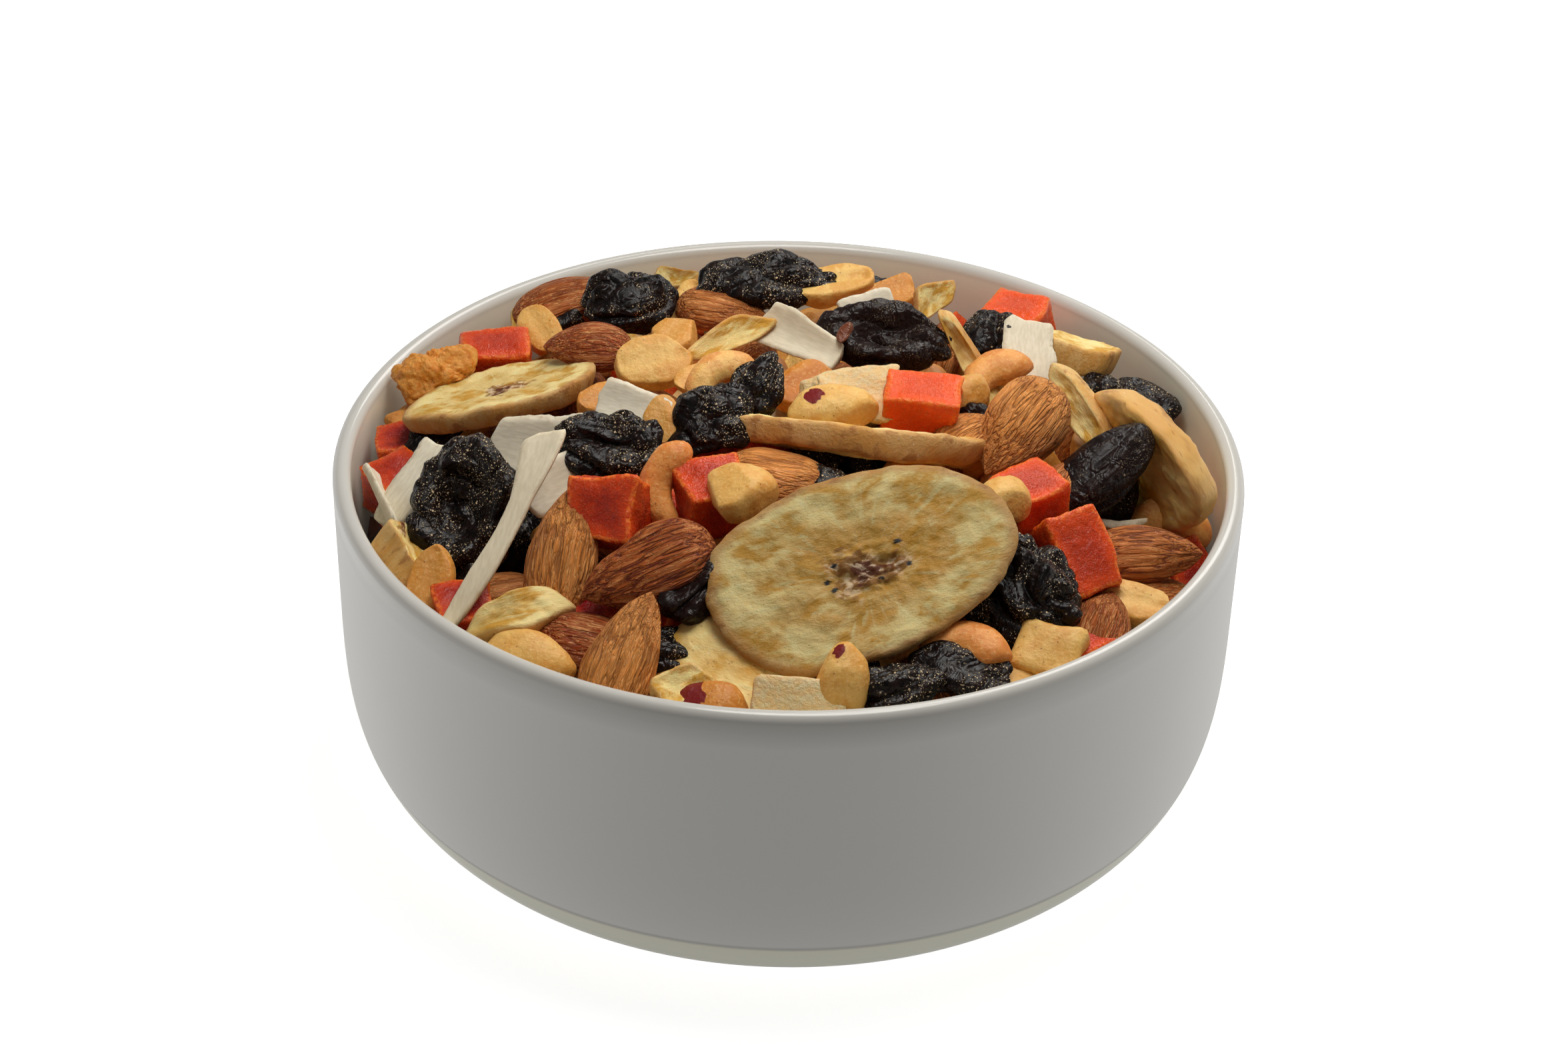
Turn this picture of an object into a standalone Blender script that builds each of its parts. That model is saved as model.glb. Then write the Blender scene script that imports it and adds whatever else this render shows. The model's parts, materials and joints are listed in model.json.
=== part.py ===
# A white stoneware bowl heaped with trail mix: banana chips, raisins, almonds,
# papaya cubes, coconut flakes, peanuts, cashews and pale fruit chunks.
# Origin: the middle of the foot ring, on the table. +Z is up, the shown front is -Y.

import math

import bpy
import bmesh
from mathutils import Matrix, Vector, noise

MM = 0.001

# Bowl, in metres
RIM_RADIUS = 75.0 * MM
BELLY_RADIUS = 75.3 * MM
BASE_RADIUS = 56.9 * MM
BOWL_HEIGHT = 56.0 * MM
CORNER_HEIGHT = 28.7 * MM
CORNER_POWER = 2.94
WALL = 3.0 * MM
FLOOR_TOP = 6.0 * MM
FLOOR_RADIUS = 52.0 * MM
FOOT_INNER_RADIUS = 50.0 * MM
FOOT_DEPTH = 2.0 * MM
FOOT_HOLLOW = 0.04 * MM
BOWL_STEPS = 60
CORNER_STEPS = 6
LIP_STEPS = 4

# Heap: its level falls from the middle to the wall, and the bare core lies below it
HEAP_TOP = 63.0 * MM
HEAP_EDGE = 50.0 * MM
HEAP_RADIUS = 71.0 * MM
CORE_DROP = 3.0 * MM
REAR_RISE = 5.0 * MM
CORE_GAP = 0.5 * MM
CORE_RINGS = 3
CORE_CORNER_STEPS = 4
CORE_STEPS = 36
WALL_CLEARANCE = 0.5 * MM
WALL_PASSES = 3

# Thickness of each kind: a share of the width, or for thin ones a size in millimetres
THICK_SHARE = {"almond": 0.66, "raisin": 0.62, "papaya": 0.92, "peanut": 0.8,
               "cashew": 0.8, "chunk": 0.62}
THICK_MM = {"banana": 4.0, "coconut": 1.4}

# Pieces that show, placed by eye: x, y and lift over the heap's level in millimetres,
# heading, pitch and roll in degrees, length and width in millimetres
PIECES = {
    "banana": [
        (12, -44, 2.5, 12, 9, 28, 49, 33.5),
        (9.5, -1, -5.5, -6, -3, -34, 47, 25),
        (-48.5, 12, 0, 27, 5, -14, 34, 24),
        (-40.5, -48, 1, 28, 5, 20, 20, 9),
        (-5, -58, -1, -20, -10, 45, 23, 14),
        (60, -1, 1.5, -59, -12, 80, 32, 22),
        (49, 8, 0, -57, -29, 62, 18, 6),
        (49, 32, 2.5, -20, -8, -20, 19, 12),
        (-10.5, 22.5, 2.5, 30, 12, 55, 19, 6),
        (24.5, 44, 3.5, 45, 35, 50, 12, 7),
        (29.5, 25, 2.5, -20, -55, 70, 17, 5),
        (-22, 58, 1, 0, 0, 20, 11, 7),
        (-47, 44, 1, 50, 20, 10, 12, 9),
        (-15, -62.5, -1, 25, 5, 30, 12, 7),
        (-61, -29, 0, -60, -15, -40, 15, 9),
    ],
    "almond": [
        (-23.5, -57, 0, 65, 40, 0, 21, 11.5),
        (-21, -41.5, 1, 200, -15, -30, 22, 13),
        (-34.5, -35, 0, 80, 42, 0, 22, 11.5),
        (-35, 23, 2, 185, 3, -20, 15.5, 10),
        (-39.5, 47, 3, 18, 10, 20, 23, 11),
        (38, -1, 1, 210, -10, -35, 21, 15),
        (57, -26, 0, 5, 0, 25, 18, 10),
        (51, -46.5, -1, 70, 20, 0, 17, 12),
        (60, -31, -4, 20, 0, 10, 15, 9),
        (-31, -50, -4, 170, 10, -20, 18, 11),
        (-1, -13, -5, -10, 0, 10, 20, 12),
        (-12.5, 42, 0, -15, 0, 10, 17, 10),
        (8, 57, 1, -10, 0, 10, 14, 8),
        (29, -2, -1, 40, 10, 10, 12, 9),
        (44, -13, 0, 60, 20, 0, 10, 7),
    ],
    "raisin": [
        (-51.5, -21, 1, 80, 45, 0, 25, 19),
        (-28.5, -11, 1, -15, -8, 30, 20, 14),
        (-13, -4, 0, 20, 10, 30, 18, 13),
        (-5.5, 3.5, 1, 65, 35, 0, 15, 10),
        (-6, 46, 4, 8, 3, 15, 28, 13),
        (15.5, 23.5, 2.5, 3, 0, 25, 24, 14),
        (-29, 42, 3, 10, 0, 20, 18, 14),
        (-41, 43, 1, 30, 0, 0, 10, 8),
        (34.5, 34, 2, 50, 30, 0, 12.5, 11),
        (50.5, -10.5, 2, 35, 26, 0, 24, 15),
        (62, 24, 0, -45, -10, 0, 15, 12),
        (54, 24, 0, 0, 0, 0, 12, 9),
        (36, -42, 0, 75, 40, 0, 21, 20),
        (-15.5, -43.5, 0.5, 70, 25, 0, 15, 12),
        (-17, -52, -5, 0, 0, 0, 13, 10),
        (17, -61.5, 0, 10, 5, 20, 15, 11),
        (26, -58, 0, -10, 0, 20, 16, 10),
        (-60, 7, -1, 60, 20, 0, 13, 9),
        (31.5, 3, 0, 0, 0, 0, 9, 8),
        (4, -14, -5, 0, 0, 0, 14, 9),
        (14, 58, 1, 0, 0, 0, 9, 6),
    ],
    "papaya": [
        (-27.5, -29, 1.5, -15, 5, 50, 11, 10.5),
        (-11.5, -25, 0, 20, 5, 10, 11, 10),
        (21.5, 1, 2, -5, -2, 10, 12.5, 8.5),
        (38, -19, 0, 35, 5, 5, 10.5, 8.5),
        (45.5, -31, 0, -60, -40, 10, 14, 9),
        (-51.5, 28.5, 0, 10, 0, 5, 12, 9),
        (-64.5, -5, -2, 40, 5, 5, 9, 9),
        (-49.5, -41, -3, 15, 0, 10, 9, 9),
        (40.5, 47, 1, -30, 0, 5, 11, 9),
        (-30, -42, -6, 25, 10, 5, 10, 10),
        (45.5, -47, -4, 40, 0, 0, 10, 9),
        (37, 32, 0, 20, 0, 0, 8, 8),
        (-64.5, 6, -4, 10, 0, 0, 10, 9),
    ],
    "coconut": [
        (-41, -9.5, 0, -10, -5, 50, 15, 13),
        (-44, -35, 4.5, 70, 35, 0, 33, 5),
        (-37.5, -17, -1, 40, 0, 50, 12, 9),
        (-25.5, -1.5, 1.5, -20, -5, 40, 13, 7),
        (1.5, 22.5, 1.5, -35, -5, 40, 17, 7),
        (41, 28, 1.5, 85, 30, 0, 14, 9),
        (13, 38, 2, 15, 0, 40, 10, 6),
        (-66, -13, 0, -65, -15, -50, 14, 6),
        (-60.5, -11, 0, 55, 30, 0, 16, 7),
    ],
    "peanut": [
        (-23.5, 15, 1.5, 15, 5, 35, 13, 9.5),
        (6.5, 46.5, 4, 10, 5, 10, 16, 8.5),
        (7, -2.5, 1, 5, 0, 10, 15, 8.5),
        (-7.5, -30, 4, 25, 8, 0, 12, 9),
        (-39, -55, -0.5, -15, -5, 20, 13, 8),
        (8.5, -63, 0, 90, 60, 0, 12, 7.5),
        (42.5, -54.5, 0, -20, 0, 30, 10, 9),
        (34.5, -56, -2.5, 10, 0, 10, 12, 8),
        (-11, -65, -2, -10, 0, 20, 12, 8),
        (-15, 9, 0, 30, 0, 20, 10, 7),
        (28, 7, 1, 20, 0, 10, 10, 8),
        (-19, 46, 0, 70, 20, 0, 11, 8),
        (-20, 28, 1, 60, 10, 0, 10, 8),
        (-21, -4, 0.5, 80, 40, 0, 9, 6),
        (-31, 4, 0, 30, 0, 20, 10, 8),
        (17, 52, 1.5, 20, 5, 20, 12, 8),
        (-44.5, 37, 1.5, -60, -20, 20, 11, 7),
        (54.5, -37, -1, -20, 0, 20, 14, 7),
        (34, -24, 2, 0, 0, 0, 8, 8),
        (2, 12, 0, 30, 5, 20, 14, 11),
        (-12, 59, 1, 10, 0, 0, 13, 8),
        (-55, -35.5, -0.5, 80, 40, 0, 12, 7),
        (53, 8, -3, 30, 0, 0, 12, 9),
    ],
    "cashew": [
        (-19.5, -24, 2, 75, 50, 0, 14, 7),
        (35, 20, 0, 25, 10, 20, 11, 6.5),
        (27, -53.5, 0, -20, 0, 20, 12, 6.5),
        (-12.5, 7.5, 1.5, 40, 15, 30, 13, 5.5),
    ],
    "chunk": [
        (-60, 21, 2.5, 25, 15, 20, 15, 9.5),
        (-65, 14, -1, 30, 0, 10, 9, 8),
        (11, 4, 0, 10, 5, 30, 14, 10),
        (2.5, -65, -2, -5, 0, 45, 13, 9),
    ],
}

# Colour and roughness of each kind
FINISH = {
    "stoneware": ((0.80, 0.79, 0.76), 0.35),
    "banana": ((0.56, 0.38, 0.16), 0.6),
    "almond": ((0.36, 0.14, 0.045), 0.6),
    "raisin": ((0.018, 0.010, 0.010), 0.45),
    "papaya": ((0.60, 0.07, 0.012), 0.4),
    "coconut": ((0.66, 0.60, 0.50), 0.6),
    "peanut": ((0.60, 0.34, 0.12), 0.5),
    "cashew": ((0.48, 0.20, 0.06), 0.5),
    "chunk": ((0.55, 0.42, 0.24), 0.6),
}


def clear_scene():
    for obj in list(bpy.data.objects):
        bpy.data.objects.remove(obj, do_unlink=True)


def new_collection(name):
    collection = bpy.data.collections.new(name)
    bpy.context.scene.collection.children.link(collection)
    return collection


def finish(kind):
    colour, roughness = FINISH[kind]
    material = bpy.data.materials.new(kind)
    material.use_nodes = True
    shader = material.node_tree.nodes["Principled BSDF"]
    shader.inputs["Base Color"].default_value = (*colour, 1.0)
    shader.inputs["Roughness"].default_value = roughness
    shader.inputs["Metallic"].default_value = 0.0
    return material


def rounded_corner(radius, inner_radius, top, bottom, steps):
    """Points of a squared-off quarter round, from the wall down to the floor."""
    points = []
    for step in range(steps + 1):
        angle = 0.5 * math.pi * step / steps
        reach = math.cos(angle) ** (2.0 / CORNER_POWER)
        fall = math.sin(angle) ** (2.0 / CORNER_POWER)
        points.append((inner_radius + (radius - inner_radius) * reach,
                       top - (top - bottom) * fall))
    return points


def bowl_profile():
    """Floor middle, up the inside, over the lip, down the outside, under the foot, which
    stands on its outer edge."""
    inside = rounded_corner(BELLY_RADIUS - WALL, FLOOR_RADIUS, CORNER_HEIGHT, FLOOR_TOP,
                            CORNER_STEPS)
    lip_radius = 0.5 * WALL
    lip_middle = RIM_RADIUS - lip_radius
    lip = []
    for step in range(LIP_STEPS + 1):
        angle = math.pi * (1.0 - step / LIP_STEPS)
        lip.append((lip_middle + lip_radius * math.cos(angle),
                    BOWL_HEIGHT - lip_radius + lip_radius * math.sin(angle)))
    outside = rounded_corner(BELLY_RADIUS, BASE_RADIUS, CORNER_HEIGHT, 0.0, CORNER_STEPS)
    foot = [(FOOT_INNER_RADIUS, FOOT_HOLLOW), (FOOT_INNER_RADIUS - FOOT_DEPTH, FOOT_DEPTH),
            (0.0, FOOT_DEPTH)]
    return [(0.0, FLOOR_TOP)] + inside[::-1] + lip + outside + foot


def heap_level(x, y):
    share = (x * x + y * y) / (HEAP_RADIUS * HEAP_RADIUS)
    return HEAP_EDGE + (HEAP_TOP - HEAP_EDGE) * (1.0 - share)


def core_level(x, y):
    """Top of the bare heap, which is banked up towards the rear."""
    return heap_level(x, y) - CORE_DROP + REAR_RISE * max(y, 0.0) / HEAP_RADIUS


def core_profile():
    """Top of the bare heap from its middle outwards, then down the wall to the floor."""
    wall_radius = BELLY_RADIUS - WALL - CORE_GAP
    top = []
    for ring in range(CORE_RINGS + 1):
        radius = wall_radius * ring / (CORE_RINGS + 1)
        top.append((radius, core_level(radius, 0.0)))
    edge = RIM_RADIUS - WALL - CORE_GAP
    top.append((edge, core_level(edge, 0.0)))
    side = rounded_corner(wall_radius, FLOOR_RADIUS - CORE_GAP, CORNER_HEIGHT,
                          FLOOR_TOP + CORE_GAP, CORE_CORNER_STEPS)
    return top + side + [(0.0, FLOOR_TOP + CORE_GAP)]


def turned(name, profile, steps, collection, material):
    """A solid turned about Z from a profile of (radius, height) points."""
    mesh = bpy.data.meshes.new(name)
    vertices = [(radius, 0.0, height) for radius, height in profile]
    edges = [(i, i + 1) for i in range(len(profile) - 1)]
    mesh.from_pydata(vertices, edges, [])
    mesh.materials.append(material)
    obj = bpy.data.objects.new(name, mesh)
    collection.objects.link(obj)
    screw = obj.modifiers.new("turn", "SCREW")
    screw.steps = steps
    screw.render_steps = steps
    screw.use_merge_vertices = True
    screw.merge_threshold = 0.01 * MM
    screw.use_smooth_shade = True
    return obj


def made_real(obj):
    """Applies the modifiers of an object to its mesh."""
    bpy.context.view_layer.update()
    evaluated = obj.evaluated_get(bpy.context.evaluated_depsgraph_get())
    mesh = bpy.data.meshes.new_from_object(evaluated)
    obj.modifiers.clear()
    obj.data = mesh


def heap_core(collection, material):
    """The bare heap: turned to fit the bowl, with its top banked up."""
    core = turned("trail_mix", core_profile(), CORE_STEPS, collection, material)
    made_real(core)
    mesh = bmesh.new()
    mesh.from_mesh(core.data)
    for vertex in mesh.verts:
        if vertex.co.z > CORNER_HEIGHT + WALL:
            vertex.co.z = core_level(vertex.co.x, vertex.co.y)
    bmesh.ops.triangulate(mesh, faces=mesh.faces[:])
    mesh.to_mesh(core.data)
    mesh.free()
    return core


def ball(segments, rings):
    """A unit ball whose poles lie along X."""
    mesh = bmesh.new()
    bmesh.ops.create_uvsphere(mesh, u_segments=segments, v_segments=rings, radius=1.0)
    bmesh.ops.rotate(mesh, verts=mesh.verts, matrix=Matrix.Rotation(0.5 * math.pi, 3, "Y"))
    return mesh


def almond(length, width, thick, seed):
    """A flattened drop with its point at +X."""
    mesh = ball(7, 5)
    for vertex in mesh.verts:
        x, y, z = vertex.co
        taper = 1.0 - 0.30 * x - 0.12 * x * x
        vertex.co = (0.5 * length * x, 0.5 * width * y * taper, 0.5 * thick * z * taper)
    return mesh


def raisin(length, width, thick, seed):
    """A flattened, lumpy ball."""
    mesh = bmesh.new()
    bmesh.ops.create_icosphere(mesh, subdivisions=2, radius=1.0)
    for vertex in mesh.verts:
        lump = 0.92 + 0.22 * noise.noise(vertex.co * 1.3 + Vector((seed * 3.7, 0.0, 0.0)))
        x, y, z = vertex.co * lump
        vertex.co = (0.5 * length * x, 0.5 * width * y, 0.5 * thick * z)
    return mesh


def banana(length, width, thick, seed):
    """A slice with an uneven outline, dished a little."""
    mesh = bmesh.new()
    bmesh.ops.create_cone(mesh, cap_ends=True, segments=14, radius1=0.9, radius2=1.0, depth=1.0)
    for vertex in mesh.verts:
        x, y, z = vertex.co
        angle = math.atan2(y, x)
        uneven = 1.0 + 0.05 * math.sin(2.0 * angle + seed) + 0.04 * math.sin(3.0 * angle - seed)
        vertex.co = (0.5 * length * x * uneven, 0.5 * width * y * uneven, thick * z)
    return mesh


def papaya(length, width, thick, seed):
    """A cube cut by hand, with its edges taken off."""
    mesh = bmesh.new()
    bmesh.ops.create_cube(mesh, size=1.0)
    for vertex in mesh.verts:
        corner = vertex.co.copy()
        shift = noise.noise_vector(corner * 3.1 + Vector((seed * 1.9, 0.0, 0.0)))
        x, y, z = corner + 0.10 * shift
        vertex.co = (length * x, width * y, thick * z)
    bmesh.ops.bevel(mesh, geom=mesh.edges[:], offset=0.8 * MM, segments=1, affect="EDGES")
    return mesh


def coconut(length, width, thick, seed):
    """A thin shaving, curled along its length and across it."""
    mesh = bmesh.new()
    bmesh.ops.create_cube(mesh, size=1.0)
    along = [edge for edge in mesh.edges
             if abs(edge.verts[0].co.x - edge.verts[1].co.x) > 0.5]
    bmesh.ops.subdivide_edges(mesh, edges=along, cuts=4, use_grid_fill=True)
    for vertex in mesh.verts:
        x, y, z = vertex.co
        bow = 0.14 * length * (0.25 - x * x) + 0.12 * width * y
        taper = 1.0 + 0.5 * x
        vertex.co = (length * x, width * y * taper, thick * z + bow)
    return mesh


def peanut(length, width, thick, seed):
    """Half a nut: a rounded back with its flat face at +Z."""
    mesh = ball(7, 4)
    for vertex in mesh.verts:
        x, y, z = vertex.co
        lifted = min(z, 0.30)
        vertex.co = (0.5 * length * x, 0.5 * width * y, thick * (0.62 * lifted))
    return mesh


def cashew(length, width, thick, seed):
    """A fat sausage bent into a crescent in its XY plane."""
    mesh = ball(6, 6)
    bend = 0.5 * length
    for vertex in mesh.verts:
        x, y, z = vertex.co
        angle = 1.15 * x
        radius = bend + 0.5 * width * y
        vertex.co = (radius * math.sin(angle), radius * math.cos(angle) - 0.75 * bend,
                     0.5 * thick * z)
    return mesh


SHAPES = {"almond": almond, "raisin": raisin, "banana": banana, "papaya": papaya,
          "coconut": coconut, "peanut": peanut, "cashew": cashew, "chunk": papaya}


def placement(row):
    x, y, lift, heading, pitch, roll = row[:6]
    level = heap_level(x * MM, y * MM) + lift * MM
    turn = (Matrix.Rotation(math.radians(heading), 4, "Z")
            @ Matrix.Rotation(math.radians(-pitch), 4, "Y")
            @ Matrix.Rotation(math.radians(roll), 4, "X"))
    return Matrix.Translation((x * MM, y * MM, level)) @ turn


def keep_off_wall(mesh, limit):
    """Moves a piece inwards until it clears the bowl's wall."""
    for _ in range(WALL_PASSES):
        far = max(mesh.verts, key=lambda vertex: vertex.co.xy.length)
        excess = far.co.xy.length - limit
        if excess <= 0.0:
            return
        inwards = -far.co.xy.normalized() * excess
        bmesh.ops.translate(mesh, verts=mesh.verts, vec=(inwards.x, inwards.y, 0.0))


def add_pieces(collection, materials):
    limit = (RIM_RADIUS - WALL) * math.cos(math.pi / BOWL_STEPS) - WALL_CLEARANCE
    for kind, rows in PIECES.items():
        for number, row in enumerate(rows):
            length, width = row[6] * MM, row[7] * MM
            thick = THICK_MM[kind] * MM if kind in THICK_MM else THICK_SHARE[kind] * width
            shape = SHAPES[kind](length, width, thick, number + 1)
            shape.transform(placement(row))
            keep_off_wall(shape, limit)
            bmesh.ops.triangulate(shape, faces=shape.faces[:])
            bmesh.ops.recalc_face_normals(shape, faces=shape.faces[:])
            mesh = bpy.data.meshes.new(f"{kind}_{number}")
            shape.to_mesh(mesh)
            shape.free()
            mesh.materials.append(materials[kind])
            piece = bpy.data.objects.new(f"{kind}_{number}", mesh)
            piece.hide_render = True
            piece.display_type = "WIRE"
            collection.objects.link(piece)


def islands(mesh):
    """The separate closed shells of a bmesh, each as a set of faces."""
    left = set(mesh.faces)
    found = []
    while left:
        stack = [left.pop()]
        shell = set(stack)
        while stack:
            for edge in stack.pop().edges:
                for face in edge.link_faces:
                    if face in left:
                        left.remove(face)
                        shell.add(face)
                        stack.append(face)
        found.append(shell)
    return found


def keep_main_body(obj):
    """Drops loose scraps and fills the hollows that fusing sealed."""
    mesh = bmesh.new()
    mesh.from_mesh(obj.data)
    shells = sorted(islands(mesh), key=len, reverse=True)
    for shell in shells[1:]:
        vertices = {vertex for face in shell for vertex in face.verts}
        bmesh.ops.delete(mesh, geom=list(vertices), context="VERTS")
    mesh.to_mesh(obj.data)
    mesh.free()


def fuse(core, collection):
    """Joins the pieces to the core as one body, then removes them."""
    union = core.modifiers.new("fuse", "BOOLEAN")
    union.operation = "UNION"
    union.operand_type = "COLLECTION"
    union.collection = collection
    union.solver = "EXACT"
    union.material_mode = "TRANSFER"
    made_real(core)
    for piece in list(collection.objects):
        bpy.data.objects.remove(piece, do_unlink=True)
    bpy.data.collections.remove(collection)


def build():
    clear_scene()
    model = new_collection("bowl_of_trail_mix")
    pieces = new_collection("pieces_to_fuse")
    materials = {kind: finish(kind) for kind in FINISH}

    bowl = turned("bowl", bowl_profile(), BOWL_STEPS, model, materials["stoneware"])
    bowl.data.shade_smooth()

    heap = heap_core(model, materials["almond"])
    add_pieces(pieces, materials)
    fuse(heap, pieces)
    keep_main_body(heap)
    heap.data.shade_flat()


build()
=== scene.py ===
import json
import math

import bmesh
import bpy
import numpy as np
from mathutils import Matrix, Vector, noise

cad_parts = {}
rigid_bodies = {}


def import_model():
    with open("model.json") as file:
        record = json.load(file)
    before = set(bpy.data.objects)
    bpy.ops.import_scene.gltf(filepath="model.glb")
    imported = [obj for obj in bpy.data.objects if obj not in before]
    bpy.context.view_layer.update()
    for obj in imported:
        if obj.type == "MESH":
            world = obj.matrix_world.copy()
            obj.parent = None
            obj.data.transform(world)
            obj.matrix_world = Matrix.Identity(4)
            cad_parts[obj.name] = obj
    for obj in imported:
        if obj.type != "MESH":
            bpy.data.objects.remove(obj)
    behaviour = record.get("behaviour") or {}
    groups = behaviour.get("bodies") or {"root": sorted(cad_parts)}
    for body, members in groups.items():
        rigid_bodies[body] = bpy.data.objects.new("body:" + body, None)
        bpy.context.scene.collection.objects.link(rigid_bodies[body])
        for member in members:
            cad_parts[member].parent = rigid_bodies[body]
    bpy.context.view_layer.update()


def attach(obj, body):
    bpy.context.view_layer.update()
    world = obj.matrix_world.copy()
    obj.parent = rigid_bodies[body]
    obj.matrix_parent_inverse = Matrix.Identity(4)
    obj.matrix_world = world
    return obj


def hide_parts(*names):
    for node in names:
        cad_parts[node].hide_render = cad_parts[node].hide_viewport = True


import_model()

mm = 0.001
scene = bpy.context.scene

# Node tools: every tree below is built with them


class Nodes:
    def __init__(self, tree):
        self.tree = tree

    def feed(self, socket, value):
        if isinstance(value, bpy.types.NodeSocket):
            self.tree.links.new(value, socket)
        else:
            socket.default_value = value

    def add(self, kind, inputs=None, **settings):
        made = self.tree.nodes.new(kind)
        for name, value in settings.items():
            setattr(made, name, value)
        for name, value in (inputs or {}).items():
            self.feed(made.inputs[name], value)
        return made

    def calc(self, operation, a, b=0.0, clamp=False):
        return self.add("ShaderNodeMath", {0: a, 1: b}, operation=operation,
                        use_clamp=clamp).outputs[0]

    def times(self, a, b):
        return self.calc("MULTIPLY", a, b)

    def plus(self, a, b, clamp=False):
        return self.calc("ADD", a, b, clamp)

    def remap(self, value, low, high, toLow=0.0, toHigh=1.0):
        return self.add("ShaderNodeMapRange", {
            "Value": value, "From Min": low, "From Max": high, "To Min": toLow,
            "To Max": toHigh}, interpolation_type="SMOOTHSTEP").outputs[0]

    def coordinates(self, output="Object"):
        return self.add("ShaderNodeTexCoord").outputs[output]

    def axes(self, vector):
        return self.add("ShaderNodeSeparateXYZ", {0: vector}).outputs


# Camera, light and floor: metres and degrees

camera = {
    "distance": 0.44218, "elevation": 31.349, "roll": 1.277,
    "aim": (-0.000597, 0.0, 0.04049), "aimHeight": 0.056,
    "focal": 61.224, "sensor": 36.0, "nearest": 0.01,
}
light = {
    "top": 0.17, "back": 0.62, "side": 1.05, "front": 0.045, "below": 0.29,
    "skyTint": (1.0, 0.99, 0.965, 1.0), "lampTint": (1.0, 0.985, 0.95),
    "lamps": {"overhead": {"power": 0.36, "size": 0.12, "place": (0.02, -0.005, 0.27)},
              "window": {"power": 1.3, "size": 0.26, "place": (0.16, 0.36, 0.44)}},
    "floorSize": 3.0,
    "floor": {"Base_Color": (0.93, 0.93, 0.93, 1.0), "Roughness": 0.9,
              "Emission_Color": (1.0, 1.0, 1.0, 1.0), "Emission_Strength": 0.75},
}


def makeCamera():
    tilt = math.radians(camera["elevation"])
    place = Vector((0.0, -math.cos(tilt) * camera["distance"],
                    camera["aimHeight"] + math.sin(tilt) * camera["distance"]))
    forward = (Vector(camera["aim"]) - place).normalized()
    level = forward.cross(Vector((0.0, 0.0, 1.0))).normalized()
    upright = level.cross(forward)
    roll = math.radians(camera["roll"])
    right = level * math.cos(roll) + upright * math.sin(roll)
    up = upright * math.cos(roll) - level * math.sin(roll)
    lens = bpy.data.cameras.new("camera")
    lens.sensor_width = camera["sensor"]
    lens.lens = camera["focal"]
    lens.clip_start = camera["nearest"]
    eye = newObject("camera", lens)
    turn = Matrix((right, up, -forward)).transposed()
    eye.matrix_world = Matrix.Translation(place) @ turn.to_4x4()
    scene.camera = eye


def makeWorld():
    # A pale room: bright behind and at both sides, dim in front.
    world = bpy.data.worlds.new("softRoom")
    world.use_nodes = True
    sky = Nodes(world.node_tree)
    x, y, z = sky.axes(sky.coordinates("Generated"))
    back = sky.remap(y, -0.25, 0.8, light["front"], light["back"])
    side = sky.times(sky.remap(sky.calc("ABSOLUTE", x), 0.35, 1.0), light["side"])
    level = sky.times(sky.remap(z, 0.40, 0.0), sky.remap(z, -0.95, -0.45))
    around = sky.times(sky.plus(back, side), level)
    above = sky.remap(z, 0.0, 0.8, 0.0, light["top"])
    low = sky.remap(z, 0.0, -0.5, 0.0, light["below"])
    background = sky.tree.nodes["Background"].inputs
    sky.feed(background["Strength"], sky.plus(sky.plus(around, above), low))
    sky.feed(background["Color"], light["skyTint"])
    scene.world = world


def makeLamps():
    for name, values in light["lamps"].items():
        lamp = bpy.data.lights.new(name, "AREA")
        lamp.energy = values["power"]
        lamp.size = values["size"]
        lamp.color = light["lampTint"]
        made = newObject(name, lamp)
        made.location = values["place"]
        made.visible_camera = False
        made.rotation_euler = (-made.location).to_track_quat("-Z", "Y").to_euler()


def makeFloor():
    half = 0.5 * light["floorSize"]
    mesh = bpy.data.meshes.new("floor")
    mesh.from_pydata([(-half, -half, 0), (half, -half, 0), (half, half, 0), (-half, half, 0)],
                     [], [(0, 1, 2, 3)])
    mesh.materials.append(Paint("floor", {"fixed": light["floor"]}).material)
    floor = newObject("floor", mesh)
    floor.visible_diffuse = False
    floor.visible_glossy = False


# Shared shape tools: sizes are in millimetres until a piece is made


def noiseAt(points, scale, seed):
    shift = 7.31 * seed
    return np.array([noise.noise((x * scale + shift, y * scale - shift, z * scale + 2.0))
                     for x, y, z in points.tolist()])


def smoothstep(low, high, value):
    share = np.clip((value - low) / (high - low), 0.0, 1.0)
    return share * share * (3.0 - 2.0 * share)


def shape(points, quads, tris, mask=None, local=None):
    return {"points": points, "quads": quads, "tris": tris,
            "mask": np.zeros(len(points)) if mask is None else mask,
            "local": points.copy() if local is None else local}


def stacked(rings):
    # Rings of equal length joined in order, with a middle point closing both ends.
    count, around = rings.shape[:2]
    points = np.concatenate([rings[0].mean(0)[None], rings.reshape(-1, 3),
                             rings[-1].mean(0)[None]])
    step = np.arange(around)
    start = 1 + np.arange(count - 1)[:, None] * around
    here, there = start + step, start + (step + 1) % around
    quads = np.stack([here, there, there + around, here + around], -1).reshape(-1, 4)
    last = 1 + (count - 1) * around
    head = np.stack([np.zeros(around, int), 1 + (step + 1) % around, 1 + step], -1)
    tail = np.stack([np.full(around, len(points) - 1), last + step,
                     last + (step + 1) % around], -1)
    return points, quads, np.concatenate([head, tail])


primitives = {}


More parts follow.
